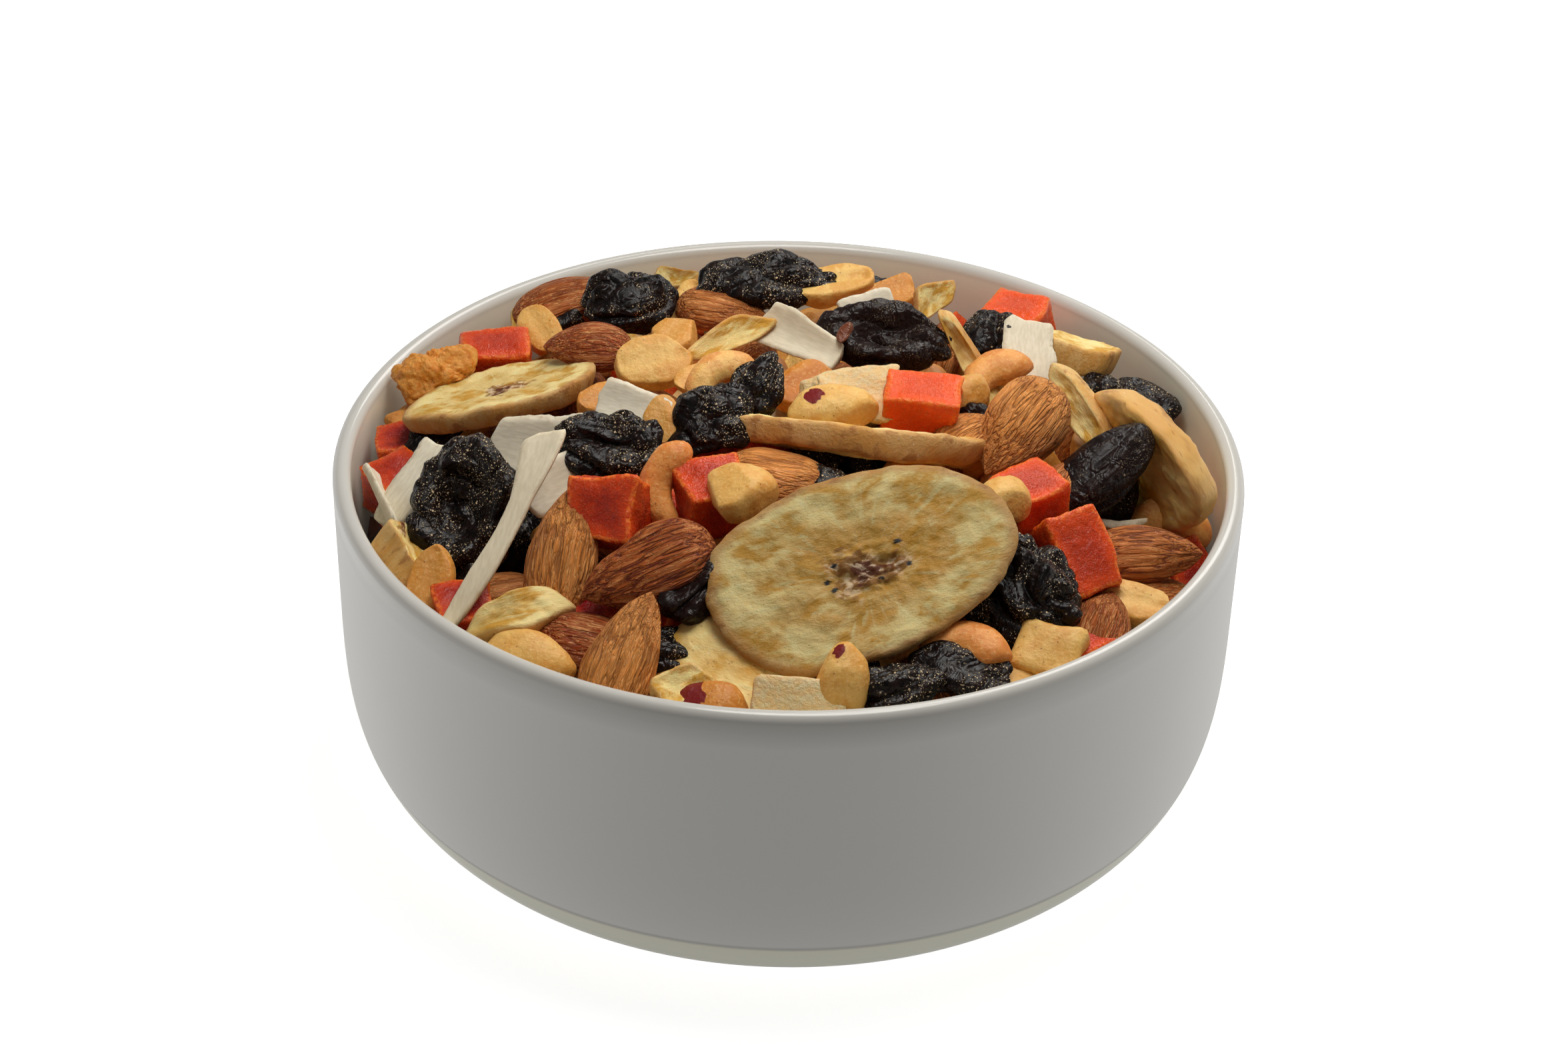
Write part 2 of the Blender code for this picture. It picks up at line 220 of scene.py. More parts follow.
def primitive(kind, detail):
    # Points and faces of a unit ball or a unit cube, kept for the next call.
    if (kind, detail) not in primitives:
        mesh = bmesh.new()
        if kind == "ball":
            bmesh.ops.create_icosphere(mesh, subdivisions=detail, radius=1.0)
        else:
            bmesh.ops.create_cube(mesh, size=2.0)
            bmesh.ops.subdivide_edges(mesh, edges=mesh.edges[:], cuts=detail,
                                      use_grid_fill=True)
        points = np.array([vertex.co[:] for vertex in mesh.verts])
        faces = np.array([[vertex.index for vertex in face.verts] for face in mesh.faces])
        mesh.free()
        primitives[kind, detail] = points, faces
    points, faces = primitives[kind, detail]
    return points.copy(), faces


def flatten(points, seed, count, low, high):
    # Soft flat faces where a piece broke or was pressed, at seeded sides.
    draw = np.random.default_rng(seed)
    for _ in range(count):
        way = draw.normal(size=3)
        way /= np.linalg.norm(way)
        reach = points @ way
        over = np.maximum(reach - reach.max() * draw.uniform(low, high), 0.0)
        points = points - way * (0.88 * over)[:, None]  # a trace of the old curve stays
    return points


def brokenOutline(angle, seed, sides):
    # The reach of a disc that lost some sides along straight breaks.
    draw = np.random.default_rng(seed)
    sharpness = 14
    total = np.full(len(angle), 0.92 ** sharpness)
    for side in range(sides):
        facing = (side + draw.uniform(-0.3, 0.3)) * 2.0 * math.pi / sides
        share = np.maximum(np.cos(angle - facing), 0.0) / draw.uniform(0.66, 0.95)
        total += share ** sharpness
    reach = total ** (-1.0 / sharpness)
    return reach / reach.max()


emptyFaces = {3: np.zeros((0, 3), int), 4: np.zeros((0, 4), int)}


def meshOf(name, shapes, tones):
    # One mesh in metres, with each piece's own axes, mask and tone kept as attributes.
    points, faces, local, mask, tone = [], [], [], [], []
    base = 0
    for made, shade in zip(shapes, tones):
        corners = made["points"]
        for part in (made["quads"], made["tris"]):
            if len(part):
                faces += (outward(corners, part, made) + base).tolist()
        points.append(corners * mm)
        local.append(made["local"])
        mask.append(made["mask"])
        tone.append(np.full(len(corners), shade))
        base += len(corners)
    mesh = bpy.data.meshes.new(name)
    mesh.from_pydata(np.concatenate(points).tolist(), [], faces)
    for label, kind, values in (("local", "FLOAT_VECTOR", local), ("mask", "FLOAT", mask),
                                ("tone", "FLOAT", tone)):
        layer = mesh.attributes.new(label, kind, "POINT")
        field = "vector" if kind == "FLOAT_VECTOR" else "value"
        layer.data.foreach_set(field, np.concatenate(values).astype(np.float32).ravel())
    mesh.shade_smooth()
    return mesh


def outward(points, faces, made):
    # Faces turned so that the closed shape holds a positive volume.
    if "flip" not in made:
        volume = 0.0
        for part in (made["quads"], made["tris"]):
            for corner in range(1, part.shape[1] - 1):
                a, b, c = points[part[:, 0]], points[part[:, corner]], points[part[:, corner + 1]]
                volume += np.einsum("ij,ij->i", a, np.cross(b, c)).sum()
        made["flip"] = volume < 0.0
    return faces[:, ::-1] if made["flip"] else faces


def newObject(name, data, collection=None):
    made = bpy.data.objects.new(name, data)
    (collection or scene.collection).objects.link(made)
    return made


# Material tools: sockets are named with _ for a space


shading = {"lift": 1.40, "haze": 0.011, "darkest": 0.004, "palest": 0.95}


def tint(red, green, blue):
    # A colour as the photo shows it (0-255), less the haze of its gloss, and lifted by what
    # the light takes away.
    parts = []
    for value in (red, green, blue):
        value /= 255.0
        value = value / 12.92 if value <= 0.04045 else ((value + 0.055) / 1.055) ** 2.4
        lifted = max(value - shading["haze"], shading["darkest"]) * shading["lift"]
        parts.append(min(lifted, shading["palest"]))
    return (*parts, 1.0)


class Paint(Nodes):
    # One material: its look's values, its nodes, and the colour laid on so far.

    def __init__(self, name, look):
        self.material = bpy.data.materials.new(name)
        self.material.use_nodes = True
        super().__init__(self.material.node_tree)
        self.shader = self.tree.nodes["Principled BSDF"].inputs
        self.look = look
        self.colour = None
        self.set(**look["fixed"])

    def set(self, **values):
        for name, value in values.items():
            self.feed(self.shader[name.replace("_", " ")], value)

    def carried(self, name):
        outputs = self.add("ShaderNodeAttribute", attribute_name=name).outputs
        return outputs["Vector" if name == "local" else "Fac"]

    def vector(self, operation, a, b):
        return self.add("ShaderNodeVectorMath", {0: a, 1: b}, operation=operation).outputs[0]

    def joined(self, x=0.0, y=0.0, z=0.0):
        return self.add("ShaderNodeCombineXYZ", {0: x, 1: y, 2: z}).outputs[0]

    def grain(self, vector, scale, detail=2.0, roughness=0.5, distortion=0.0):
        return self.add("ShaderNodeTexNoise", {
            "Vector": vector, "Scale": scale, "Detail": detail, "Roughness": roughness,
            "Distortion": distortion}).outputs[0]

    def patches(self, vector, scale, low, high, detail=2.0, roughness=0.5, to=(0.0, 1.0)):
        return self.remap(self.grain(vector, scale, detail, roughness), low, high, *to)

    def crease(self, value):
        # 0 along the middle value of a noise, which runs as a network of lines.
        return self.calc("ABSOLUTE", self.calc("SUBTRACT", value, 0.5))

    def spots(self, vector, scale, size):
        far = self.add("ShaderNodeTexVoronoi", {"Vector": vector, "Scale": scale}).outputs[0]
        return self.remap(far, size, 0.55 * size)

    def mix(self, share, a, b, mode="MIX"):
        return self.add("ShaderNodeMix", {0: share, 6: a, 7: b}, data_type="RGBA",
                        blend_type=mode).outputs[2]

    def named(self, name):
        # Three numbers are a colour as the photo shows it, four the surface's own.
        colour = self.look[name]
        return colour if len(colour) == 4 else tint(*colour)

    def start(self, share, first, second):
        self.colour = self.mix(share, self.named(first), self.named(second))

    def cover(self, share, name):
        self.colour = self.mix(share, self.colour, self.named(name))

    def finish(self, rough, height):
        # "relief" is the strength of the bump and its depth in mm.
        strength, depth = self.look["relief"]
        bump = self.add("ShaderNodeBump", {"Strength": strength, "Distance": depth * mm,
                                           "Height": height}).outputs[0]
        self.set(Base_Color=self.colour, Roughness=rough, Normal=bump)
        return self.material


makeCamera()
makeWorld()
makeLamps()
makeFloor()
scene.view_settings.view_transform = "Standard"
print("camera, light and floor")

# Bowl

bowl = {
    "rimRadius": 75.0, "bellyRadius": 75.3, "baseRadius": 56.9, "height": 56.0,
    "cornerHeight": 28.7, "cornerPower": 2.94, "wall": 3.0, "floorTop": 6.0,
    "floorRadius": 52.0, "footInner": 50.0, "footDepth": 2.0, "footRound": 0.8,
    "steps": 180, "cornerSteps": 26, "lipSteps": 12, "wallSteps": 7, "middle": 0.5,
}
# The inside colour is painted light, paler and warmer than the glaze itself, and the colour under the
# lip is painted shade.
glaze = {
    "outside": (0.80, 0.795, 0.77, 1.0), "inside": (0.94, 0.93, 0.78, 1.0),
    "lipPaintedShade": (0.60, 0.58, 0.54, 1.0), "shineFrom": (52.0, 55.0), "lipShade": (56.0, 53.5),
    "insideOver": 3.0, "fixed": {"Specular_IOR_Level": 0.45},
    "rough": (0.48, 0.16), "uneven": 0.02, "relief": (0.05, 0.2),
}


def roundedCorner(radius, innerRadius, top, bottom, steps):
    # The wall's lower corner, a quarter of a rounded square.
    angle = np.linspace(0.0, 0.5 * math.pi, steps + 1)
    power = 2.0 / bowl["cornerPower"]
    reach = np.clip(np.cos(angle), 0.0, 1.0) ** power
    return np.stack([innerRadius + (radius - innerRadius) * reach,
                     top - (top - bottom) * np.sin(angle) ** power], -1)


def turned(profile, steps):
    # A profile of radius and height, turned round Z.
    turn = np.linspace(0.0, 2.0 * math.pi, steps, endpoint=False)
    return stacked(np.stack([profile[:, :1] * np.cos(turn), profile[:, :1] * np.sin(turn),
                             np.repeat(profile[:, 1:], steps, 1)], -1))


def bowlProfile():
    # From the middle of the floor up the inside, over the lip and down to the foot.
    middle, lipRadius = bowl["middle"], 0.5 * bowl["wall"]
    inside = roundedCorner(bowl["bellyRadius"] - bowl["wall"], bowl["floorRadius"],
                           bowl["cornerHeight"], bowl["floorTop"], bowl["cornerSteps"])[::-1]
    angle = np.linspace(math.pi, 0.0, bowl["lipSteps"] + 1)
    lip = np.stack([bowl["rimRadius"] - lipRadius + lipRadius * np.cos(angle),
                    bowl["height"] - lipRadius + lipRadius * np.sin(angle)], -1)
    outside = roundedCorner(bowl["bellyRadius"], bowl["baseRadius"], bowl["cornerHeight"],
                            0.0, bowl["cornerSteps"])
    rise = np.linspace(0.0, 1.0, bowl["wallSteps"])[1:-1, None]
    inner = inside[-1] + (lip[0] - inside[-1]) * rise
    outer = lip[-1] + (outside[0] - lip[-1]) * rise
    foot = np.array([(bowl["footInner"] + bowl["footRound"], 0.0),
                     (bowl["footInner"], 0.3 * bowl["footRound"]),
                     (bowl["footInner"] - bowl["footDepth"], bowl["footDepth"]),
                     (0.5 * bowl["footInner"], bowl["footDepth"]),
                     (middle, bowl["footDepth"])])
    start = np.array([(middle, bowl["floorTop"]),
                      (0.5 * bowl["floorRadius"], bowl["floorTop"])])
    return np.concatenate([start, inside, inner, lip, outer, outside, foot])


def glazeMaterial():
    # "mask" is 0 on the outside, 1 near the lip and 2 inside.
    paint = Paint("whiteGlaze", glaze)
    mask = paint.carried("mask")
    where = paint.coordinates()
    height = paint.axes(where)[2]
    # Painted light and shade: the inside is painted paler and warmer below 53.5 mm, and the lip and
    # the wall just under it darker, as painted shade.
    top, below = glaze["lipShade"]
    lift = paint.times(paint.calc("SUBTRACT", mask, 1.0, clamp=True),
                       paint.remap(height, top * mm, below * mm))
    warm = paint.mix(lift, glaze["lipPaintedShade"], glaze["inside"])
    paint.colour = paint.mix(mask, glaze["outside"], warm)
    uneven = paint.patches(where, 30.0, 0.3, 0.7, to=(-glaze["uneven"], glaze["uneven"]))
    rough = paint.plus(paint.remap(mask, 0.0, 1.0, *glaze["rough"]), uneven)
    return paint.finish(rough, paint.grain(where, 260.0))


def makeBowl():
    points, quads, tris = turned(bowlProfile(), bowl["steps"])
    reach = np.hypot(points[:, 0], points[:, 1])
    inside = (reach < bowl["rimRadius"] - 0.5 * bowl["wall"]) * (points[:, 2] > glaze["insideOver"])
    mask = np.maximum(smoothstep(*glaze["shineFrom"], points[:, 2]), 2.0 * inside)
    made = newObject("bowlGlazed", meshOf("bowlGlazed", [shape(points, quads, tris, mask)],
                                          [0.5]))
    made.data.materials.append(glazeMaterial())
    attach(made, "root")
    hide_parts("bowl")


makeBowl()
print("bowl")

# Heap: levels and placing in mm, the same rule as the solids

heap = {"top": 63.0, "edge": 50.0, "radius": 71.0, "clearance": 0.5, "wallPasses": 3,
        "wallSides": 60, "tallest": 70.6}


def heapLevel(x, y):
    share = (x * x + y * y) / heap["radius"] ** 2
    return heap["edge"] + (heap["top"] - heap["edge"]) * (1.0 - share)


def turnOf(heading, pitch, roll):
    return (Matrix.Rotation(math.radians(heading), 3, "Z")
            @ Matrix.Rotation(math.radians(-pitch), 3, "Y")
            @ Matrix.Rotation(math.radians(roll), 3, "X"))


def placeRow(made, row):
    # Set down by its row, then moved inwards and down until it is clear of wall and top.
    x, y, lift, heading, pitch, roll = row[:6]
    turn = np.array(turnOf(heading, pitch, roll))
    points = made["points"] @ turn.T + np.array((x, y, heapLevel(x, y) + lift))
    limit = ((bowl["rimRadius"] - bowl["wall"]) * math.cos(math.pi / heap["wallSides"])
             - heap["clearance"])
    for _ in range(heap["wallPasses"]):
        reach = np.hypot(points[:, 0], points[:, 1])
        far = reach.argmax()
        if reach[far] <= limit:
            break
        points[:, :2] -= points[far, :2] / reach[far] * (reach[far] - limit)
    points[:, 2] -= max(points[:, 2].max() - heap["tallest"], 0.0)
    made["points"] = points
    return made


# Food: every kind has a finish, a shape and its pieces. Materials read what a piece carries:
# "local", its own axes in mm, "mask" and "tone". Shapes have X along the length, Y along the
# width and Z through the thickness. The pieces that show are nearly all at the same places as
# the solids. A row gives x, y and lift over the heap in mm, heading, pitch and roll in degrees,
# and length and width in mm. "styles" and "tones" are set by the row's number, and "variants"
# are the lengths and widths of the filler.

# Almonds

almondSkin = {
    "dark": (138, 64, 26), "pale": (224, 142, 72), "powder": (222, 166, 108),
    "crack": (118, 54, 22), "groove": (76, 34, 16), "ridge": (206, 146, 92),
    "darkPatch": (112, 54, 27), "dust": (214, 186, 150),
    "fixed": {"Specular_IOR_Level": 0.22}, "rough": (0.62, 0.48), "relief": (0.9, 0.42),
}


def almondMaterial():
    # "mask" is how deep the skin's ridges are.
    paint = Paint("almondSkin", almondSkin)
    local, deep = paint.carried("local"), paint.carried("mask")
    broad = paint.grain(paint.vector("MULTIPLY", local, (0.25, 0.4, 0.4)), 0.6, 1.0)
    along = paint.vector("MULTIPLY", local, (0.07, 1.0, 1.0))
    valley = paint.crease(paint.grain(along, 0.85, 1.5, 0.5, 0.45))  # between the long ridges
    along = paint.vector("MULTIPLY", local, (0.08, 1.0, 1.0))
    fine = paint.grain(along, 2.8, 2.0, 0.5, 0.5)
    crack = paint.crease(fine)  # hairlines on them
    paint.start(paint.carried("tone"), "dark", "pale")
    powder = paint.times(paint.remap(crack, 0.05, 0.0), paint.remap(deep, 0.4, 0.9, 0.55, 0.20))
    paint.cover(powder, "powder")
    paint.cover(paint.times(paint.remap(crack, 0.10, 0.20), 0.35), "crack")
    # Painted shade: the valleys between the long ridges are darkened, more where the ridges are deep.
    groove = paint.times(paint.remap(valley, 0.05, 0.0),
                         paint.plus(paint.times(deep, 0.75), 0.10))
    paint.cover(groove, "groove")
    paint.cover(paint.remap(valley, 0.07, 0.20, 0.0, 0.35), "ridge")
    # Broad darker patches spread at random over the skin.
    paint.cover(paint.remap(broad, 0.40, 0.75, 0.0, 0.40), "darkPatch")
    dust = paint.times(paint.spots(local, 2.2, 0.22), paint.patches(local, 0.5, 0.45, 0.7))
    paint.cover(paint.times(dust, 0.6), "dust")
    height = paint.plus(paint.remap(valley, 0.0, 0.10),
                        paint.times(paint.remap(crack, 0.0, 0.12), 0.45))
    rough = paint.remap(fine, 0.3, 0.7, *paint.look["rough"])
    return paint.finish(rough, height)


def almondShape(length, width, thick, seed, along=40, around=44, wrinkle=0.5):
    # Rings from the blunt end to the tip, pushed in and out along the skin's folds.
    u = 0.5 - 0.5 * np.cos(np.linspace(0.03, 0.985, along) * math.pi)
    swell = u ** 0.50 * (1.0 - u) ** 0.82
    swell /= swell.max()
    angle = np.linspace(0.0, 2.0 * math.pi, around, endpoint=False)
    rings = np.zeros((along, around, 3))
    rings[:, :, 0] = ((u - 0.5) * length)[:, None]
    rings[:, :, 1] = 0.5 * width * swell[:, None] * np.cos(angle)
    rings[:, :, 2] = 0.5 * thick * swell[:, None] * np.sin(angle)
    rings[:, :, 1] += 0.03 * width * math.sin(seed) * np.sin(math.pi * u)[:, None]
    points, quads, tris = stacked(rings)
    way = points * np.array((0.0, 1.0, 1.0))
    reach = np.linalg.norm(way, axis=1) + 1e-6
    unit = way / reach[:, None]
    probe = np.column_stack([0.035 * points[:, 0], unit[:, 1] * 2.4, unit[:, 2] * 2.4])
    bend = noiseAt(np.column_stack([0.12 * points[:, 0], unit[:, 1], unit[:, 2]]), 1.0, seed)
    probe[:, 1] += 0.5 * bend
    folds = np.abs(noiseAt(probe, 2.0, seed)) * 2.0 - 0.5
    lumps = noiseAt(points, 0.16, seed)
    share = np.minimum(reach / (0.3 * thick), 1.0)
    points += unit * (share * (wrinkle * 0.50 * folds + 0.035 * width * lumps))[:, None]
    return shape(points, quads, tris, np.full(len(points), min(wrinkle, 1.0)))


almonds = {
    "shape": almondShape, "thickShare": 0.66, "material": almondMaterial,
    "slot": "almond_skin",
    "rows": [
        (-23.5, -57, 0, 65, 40, 0, 21, 11.5), (-21, -41.5, 1, 200, -15, -30, 22, 13),
        (-34.5, -35, 0, 80, 42, 0, 22, 11.5), (-35, 23, 2, 185, 3, -20, 15.5, 10),
        (-39.5, 47, 3, 18, 10, 20, 23, 11), (38, -1, 1, 232, -22, -35, 21, 13.5),
        (57, -26, 0, 5, 0, 25, 18, 10), (51, -46.5, -1, 70, 20, 0, 17, 12),
        (60, -31, -4, 20, 0, 10, 15, 9), (-31, -50, -4, 170, 10, -20, 18, 11),
        (-1, -13, -5, -10, 0, 10, 20, 12), (-12.5, 42, 0, -15, 0, 10, 17, 10),
        (8, 57, 1, -10, 0, 10, 14, 8), (29, -2, -1, 40, 10, 10, 12, 9),
        (44, -13, 0, 60, 20, 0, 10, 7)],
    "styles": {1: {"along": 72, "around": 72, "wrinkle": 1.1},
               0: {"along": 60, "around": 56, "wrinkle": 0.45},
               2: {"along": 60, "around": 56, "wrinkle": 0.45},
               5: {"along": 60, "around": 60, "wrinkle": 0.6},
               6: {"along": 56, "around": 56, "wrinkle": 0.8}},
    "tones": {0: 0.8, 1: 0.1, 2: 0.7, 3: 0.0, 4: 0.1, 5: 0.8, 6: 0.3, 7: 0.15, 9: 0.0},
    "variants": [(20, 12), (17, 10.5)], "coarse": {"along": 22, "around": 22},
}

# Raisins

raisinSkin = {
    "fold": (0.003, 0.002, 0.002, 1.0), "skin": (0.013, 0.006, 0.005, 1.0),
    "warm": (0.020, 0.008, 0.007, 1.0), "stem": (98, 58, 44),
    "powder": (120, 104, 88), "dust": (192, 170, 136),
    "fixed": {"Specular_IOR_Level": 0.20}, "rough": (0.22, 0.42), "relief": (0.6, 0.4),
}


def raisinMaterial():
    # A low "tone" is a clean, warm raisin, a high one a dusty raisin, and one over 1.2 a stem.
    paint = Paint("raisinSkin", raisinSkin)
    local, tone = paint.carried("local"), paint.carried("tone")
    folds = paint.crease(paint.grain(local, 0.42, 2.0, 0.5, 0.8))
    # Painted shade: the skin is darkened to near black along the creases between the folds.
    paint.start(paint.remap(folds, 0.0, 0.15), "fold", "skin")
    paint.cover(paint.remap(tone, 0.3, 0.0, 0.0, 0.5), "warm")
    paint.cover(paint.remap(tone, 1.2, 1.5), "stem")
    patch = paint.patches(local, 0.26, 0.40, 0.62, 3.0)
    dust = paint.calc("MAXIMUM", paint.spots(local, 0.75, 0.17), paint.spots(local, 1.6, 0.22))
    dust = paint.calc("MAXIMUM", dust, paint.times(paint.spots(local, 2.8, 0.26), patch))
    amount = paint.plus(patch, paint.remap(tone, 0.1, 0.7, -0.7, 0.1))
    dust = paint.times(dust, paint.remap(amount, 0.1, 0.7))
    powder = paint.times(paint.patches(local, 4.6, 0.58, 0.68), patch)
    paint.cover(paint.times(powder, 0.35), "powder")
    paint.cover(dust, "dust")
    rough = paint.plus(paint.patches(local, 0.5, 0.35, 0.65, to=paint.look["rough"]),
                       paint.times(dust, 0.3))
    fine = paint.grain(local, 2.2, 2.0, 0.5, 0.3)
    height = paint.plus(paint.remap(folds, 0.0, 0.25), paint.times(fine, 0.2))
    height = paint.plus(height, paint.times(dust, 0.25))
    return paint.finish(rough, height)


def raisinShape(length, width, thick, seed, detail=5, folds=1.0, stretch=1.5, dish=0.0,
                fine=1.0, lump=0.16):
    # Rounded folds with sharp creases between them, their height in mm along the surface.
    ball, faces = primitive("ball", detail)
    half = 0.5 * np.array((length, width, thick))
    broad = noiseAt(ball, 0.9, seed)
    points = ball * half * (1.0 + 1.6 * lump * broad)[:, None]
    if dish:
        share = 1.0 - smoothstep(0.25, 0.85, np.hypot(ball[:, 0], ball[:, 1]))
        points[:, 2] -= dish * thick * share * (ball[:, 2] > -0.2)
    away = ball / half
    away /= np.linalg.norm(away, axis=1)[:, None]
    probe = points * np.array((0.17 / stretch, 0.17, 0.17))
    warp = np.column_stack([noiseAt(probe, 0.7, seed + k) for k in (0.3, 1.7, 2.9)])
    bent = probe + 0.7 * warp
    wide = (noiseAt(bent, 1.0, seed + 0.5) ** 2 + 0.0004) ** 0.36
    small = (noiseAt(bent, 2.3, seed + 0.9) ** 2 + 0.0004) ** 0.42
    tiny = np.abs(noiseAt(bent, 5.5, seed + 1.3))
    rise = folds * (3.0 * wide + (0.5 + 0.9 * wide) * small + 0.25 * fine * tiny)
    points += away * (rise - rise.mean())[:, None]
    points *= half / np.abs(points).max(0)
    return shape(points, emptyFaces[4], faces)


raisins = {
    "shape": raisinShape, "thickShare": 0.62, "material": raisinMaterial, "slot": "raisin",
    "rows": [
        (-51.5, -21, 1, 80, 45, 0, 25, 19), (-28.5, -11, 1, -15, -8, 30, 20, 14),
        (-13, -4, 0, 20, 10, 30, 18, 13), (-5.5, 3.5, 1, 65, 35, 0, 15, 10),
        (-6, 46, 4, 8, 3, 15, 28, 13), (15.5, 23.5, 2.5, 3, 0, 25, 24, 14),
        (-29, 42, 3, 10, 0, 20, 18, 14), (-41, 43, 1, 30, 0, 0, 10, 8),
        (34.5, 34, 2, 50, 30, 0, 12.5, 11), (50.5, -10.5, 2, 35, 26, 0, 23, 11.5),
        (62, 24, 0, -45, -10, 0, 15, 12), (54, 24, 0, 0, 0, 0, 12, 9),
        (36, -42, 0, 75, 40, 0, 21, 20), (-15.5, -43.5, 0.5, 70, 25, 0, 15, 12),
        (-17, -52, -5, 0, 0, 0, 13, 10), (17, -61.5, 0, 10, 5, 20, 15, 11),
        (26, -58, 0, -10, 0, 20, 16, 10), (-60, 7, -1, 60, 20, 0, 13, 9),
        (31.5, 3, 0, 0, 0, 0, 9, 8), (4, -14, -5, 0, 0, 0, 14, 9),
        (14, 58, 1, 0, 0, 0, 9, 6), (9, 20, 4.6, 65, 25, 0, 5, 2.6)],
    "styles": {0: {"detail": 6, "dish": 0.45, "folds": 0.9, "stretch": 1.2},
               1: {"detail": 6, "dish": 0.3}, 3: {"stretch": 2.0}, 4: {"stretch": 1.8},
               5: {"detail": 6, "dish": 0.35, "folds": 0.8},
               9: {"detail": 6, "stretch": 4.5, "folds": 0.7, "fine": 0.0, "lump": 0.1,
                   "thick": 9.5},
               12: {"detail": 6, "folds": 1.2, "stretch": 1.2}, 13: {"dish": 0.3},
               **{number: {"detail": 4} for number in (7, 10, 11, 14, 17, 18, 19, 20)},
               21: {"detail": 4, "folds": 0.4}},
    "tones": {0: 0.8, 1: 0.6, 3: 0.5, 4: 0.5, 5: 0.1, 6: 0.4, 9: 0.15, 12: 0.6, 13: 0.1,
              15: 0.7, 16: 0.5, 21: 1.6},
    "variants": [(17, 12), (13, 10)], "coarse": {"detail": 4},
}

# Banana chips

bananaFlesh = {
    "gold": (186, 143, 60), "cream": (221, 199, 134), "pale": (232, 208, 144),
    "glassy": (180, 131, 36), "streak": (236, 218, 160), "heart": (132, 92, 50),
    "torn": (84, 42, 20), "crumb": (212, 192, 158), "rim": (186, 144, 86),
    "edge": (168, 118, 66), "toasted": (138, 86, 46), "freckle": (126, 80, 44),
    "paintedGlint": (250, 240, 210), "seed": (30, 20, 16),
    "fixed": {"Specular_IOR_Level": 0.22, "Subsurface_Weight": 0.15,
              "Subsurface_Scale": 1.2 * mm},
    "shade": (0.62, 1.05), "green": 0.95, "seedRadius": 0.55,
    "rough": (0.62, 0.45), "relief": (0.65, 0.45),
}


def bananaMaterial():
    # "local" holds the unit disc here: centre 0, rim 1, and the side in Z; "mask" is the rim
    # above 0 and a seed below 0. A low "tone" is a more golden chip and darker all over: partly the
    # chip's own colour, partly painted shade.
    paint = Paint("bananaFlesh", bananaFlesh)
    disc, tone, mask = (paint.carried(name) for name in ("local", "tone", "mask"))
    where = paint.vector("ADD", paint.vector("MULTIPLY", disc, (1.0, 1.0, 0.1)),
                         paint.joined(z=paint.times(tone, 9.0)))
    x, y = paint.axes(disc)[:2]
    plain = paint.calc("SQRT", paint.plus(paint.times(x, x), paint.times(y, y)))
    radius = paint.plus(plain, paint.patches(where, 2.6, 0.25, 0.75, to=(-0.14, 0.14)))
    angle = paint.calc("ARCTAN2", y, x)
    mottle = paint.grain(where, 8.0, 4.0, 0.6)
    soft = paint.grain(where, 3.4, 3.0)
    paint.start(paint.remap(soft, 0.42, 0.58), "gold", "cream")
    paint.cover(paint.remap(mottle, 0.46, 0.66, 0.0, 0.50), "pale")
    middle = paint.times(paint.remap(radius, 0.08, 0.22), paint.remap(radius, 0.78, 0.50))
    glassy = paint.times(middle, paint.patches(where, 2.0, 0.34, 0.54, 3.0, 0.6))
    strength = paint.remap(tone, 0.1, 0.5, 0.8, 0.3)
    paint.cover(paint.times(glassy, strength), "glassy")
    rays = paint.grain(paint.joined(paint.times(angle, 3.4), paint.times(radius, 1.6),
                                    paint.times(tone, 7.0)), 3.0, 3.0)
    streak = paint.times(paint.remap(rays, 0.52, 0.72),
                         paint.remap(plain, 0.20, 0.50, 0.10, 0.42))
    paint.cover(streak, "streak")
    wobble = paint.patches(where, 6.5, 0.25, 0.75, 3.0, 0.6, to=(-0.11, 0.11))
    lobes = paint.times(paint.calc("COSINE", paint.times(angle, 3.0)), -0.045)
    heart = paint.plus(paint.plus(plain, wobble), lobes)
    paint.cover(paint.remap(heart, 0.24, 0.17, 0.0, 0.85), "heart")
    paint.cover(paint.remap(heart, 0.13, 0.05, 0.0, 0.9), "torn")
    crumbly = paint.times(paint.patches(where, 13.0, 0.52, 0.62, 3.0, 0.6),
                          paint.remap(heart, 0.34, 0.20))
    paint.cover(paint.times(crumbly, 0.75), "crumb")
    rim = paint.calc("MAXIMUM", mask, 0.0)
    paint.cover(paint.times(rim, 0.65), "rim")
    paint.cover(paint.remap(plain, 0.86, 0.97, 0.0, 0.35), "edge")
    toasted = paint.times(rim, paint.patches(where, 8.0, 0.52, 0.68, 3.0))
    paint.cover(paint.times(toasted, 0.65), "toasted")
    paint.cover(paint.times(paint.spots(where, 20.0, 0.15), 0.4), "freckle")
    # Painted highlight: tiny bright glints on the paler patches.
    paintedGlint = paint.times(paint.spots(where, 30.0, 0.14),
                        paint.remap(soft, 0.45, 0.60, 0.0, 0.55))
    paint.cover(paintedGlint, "paintedGlint")
    # Painted shade and light: "shade" scales the whole chip's colour by its tone.
    shade = paint.remap(tone, 0.0, 1.0, *paint.look["shade"])
    green = paint.times(shade, paint.look["green"])
    paint.colour = paint.mix(1.0, paint.colour, paint.joined(shade, green, shade), "MULTIPLY")
    paint.cover(paint.calc("MULTIPLY", mask, -1.0, clamp=True), "seed")
    height = paint.plus(paint.times(paint.grain(where, 38.0, 4.0, 0.6), 0.75),
                        paint.times(mottle, 0.4))
    return paint.finish(paint.remap(glassy, 0.0, 1.0, *paint.look["rough"]), height)


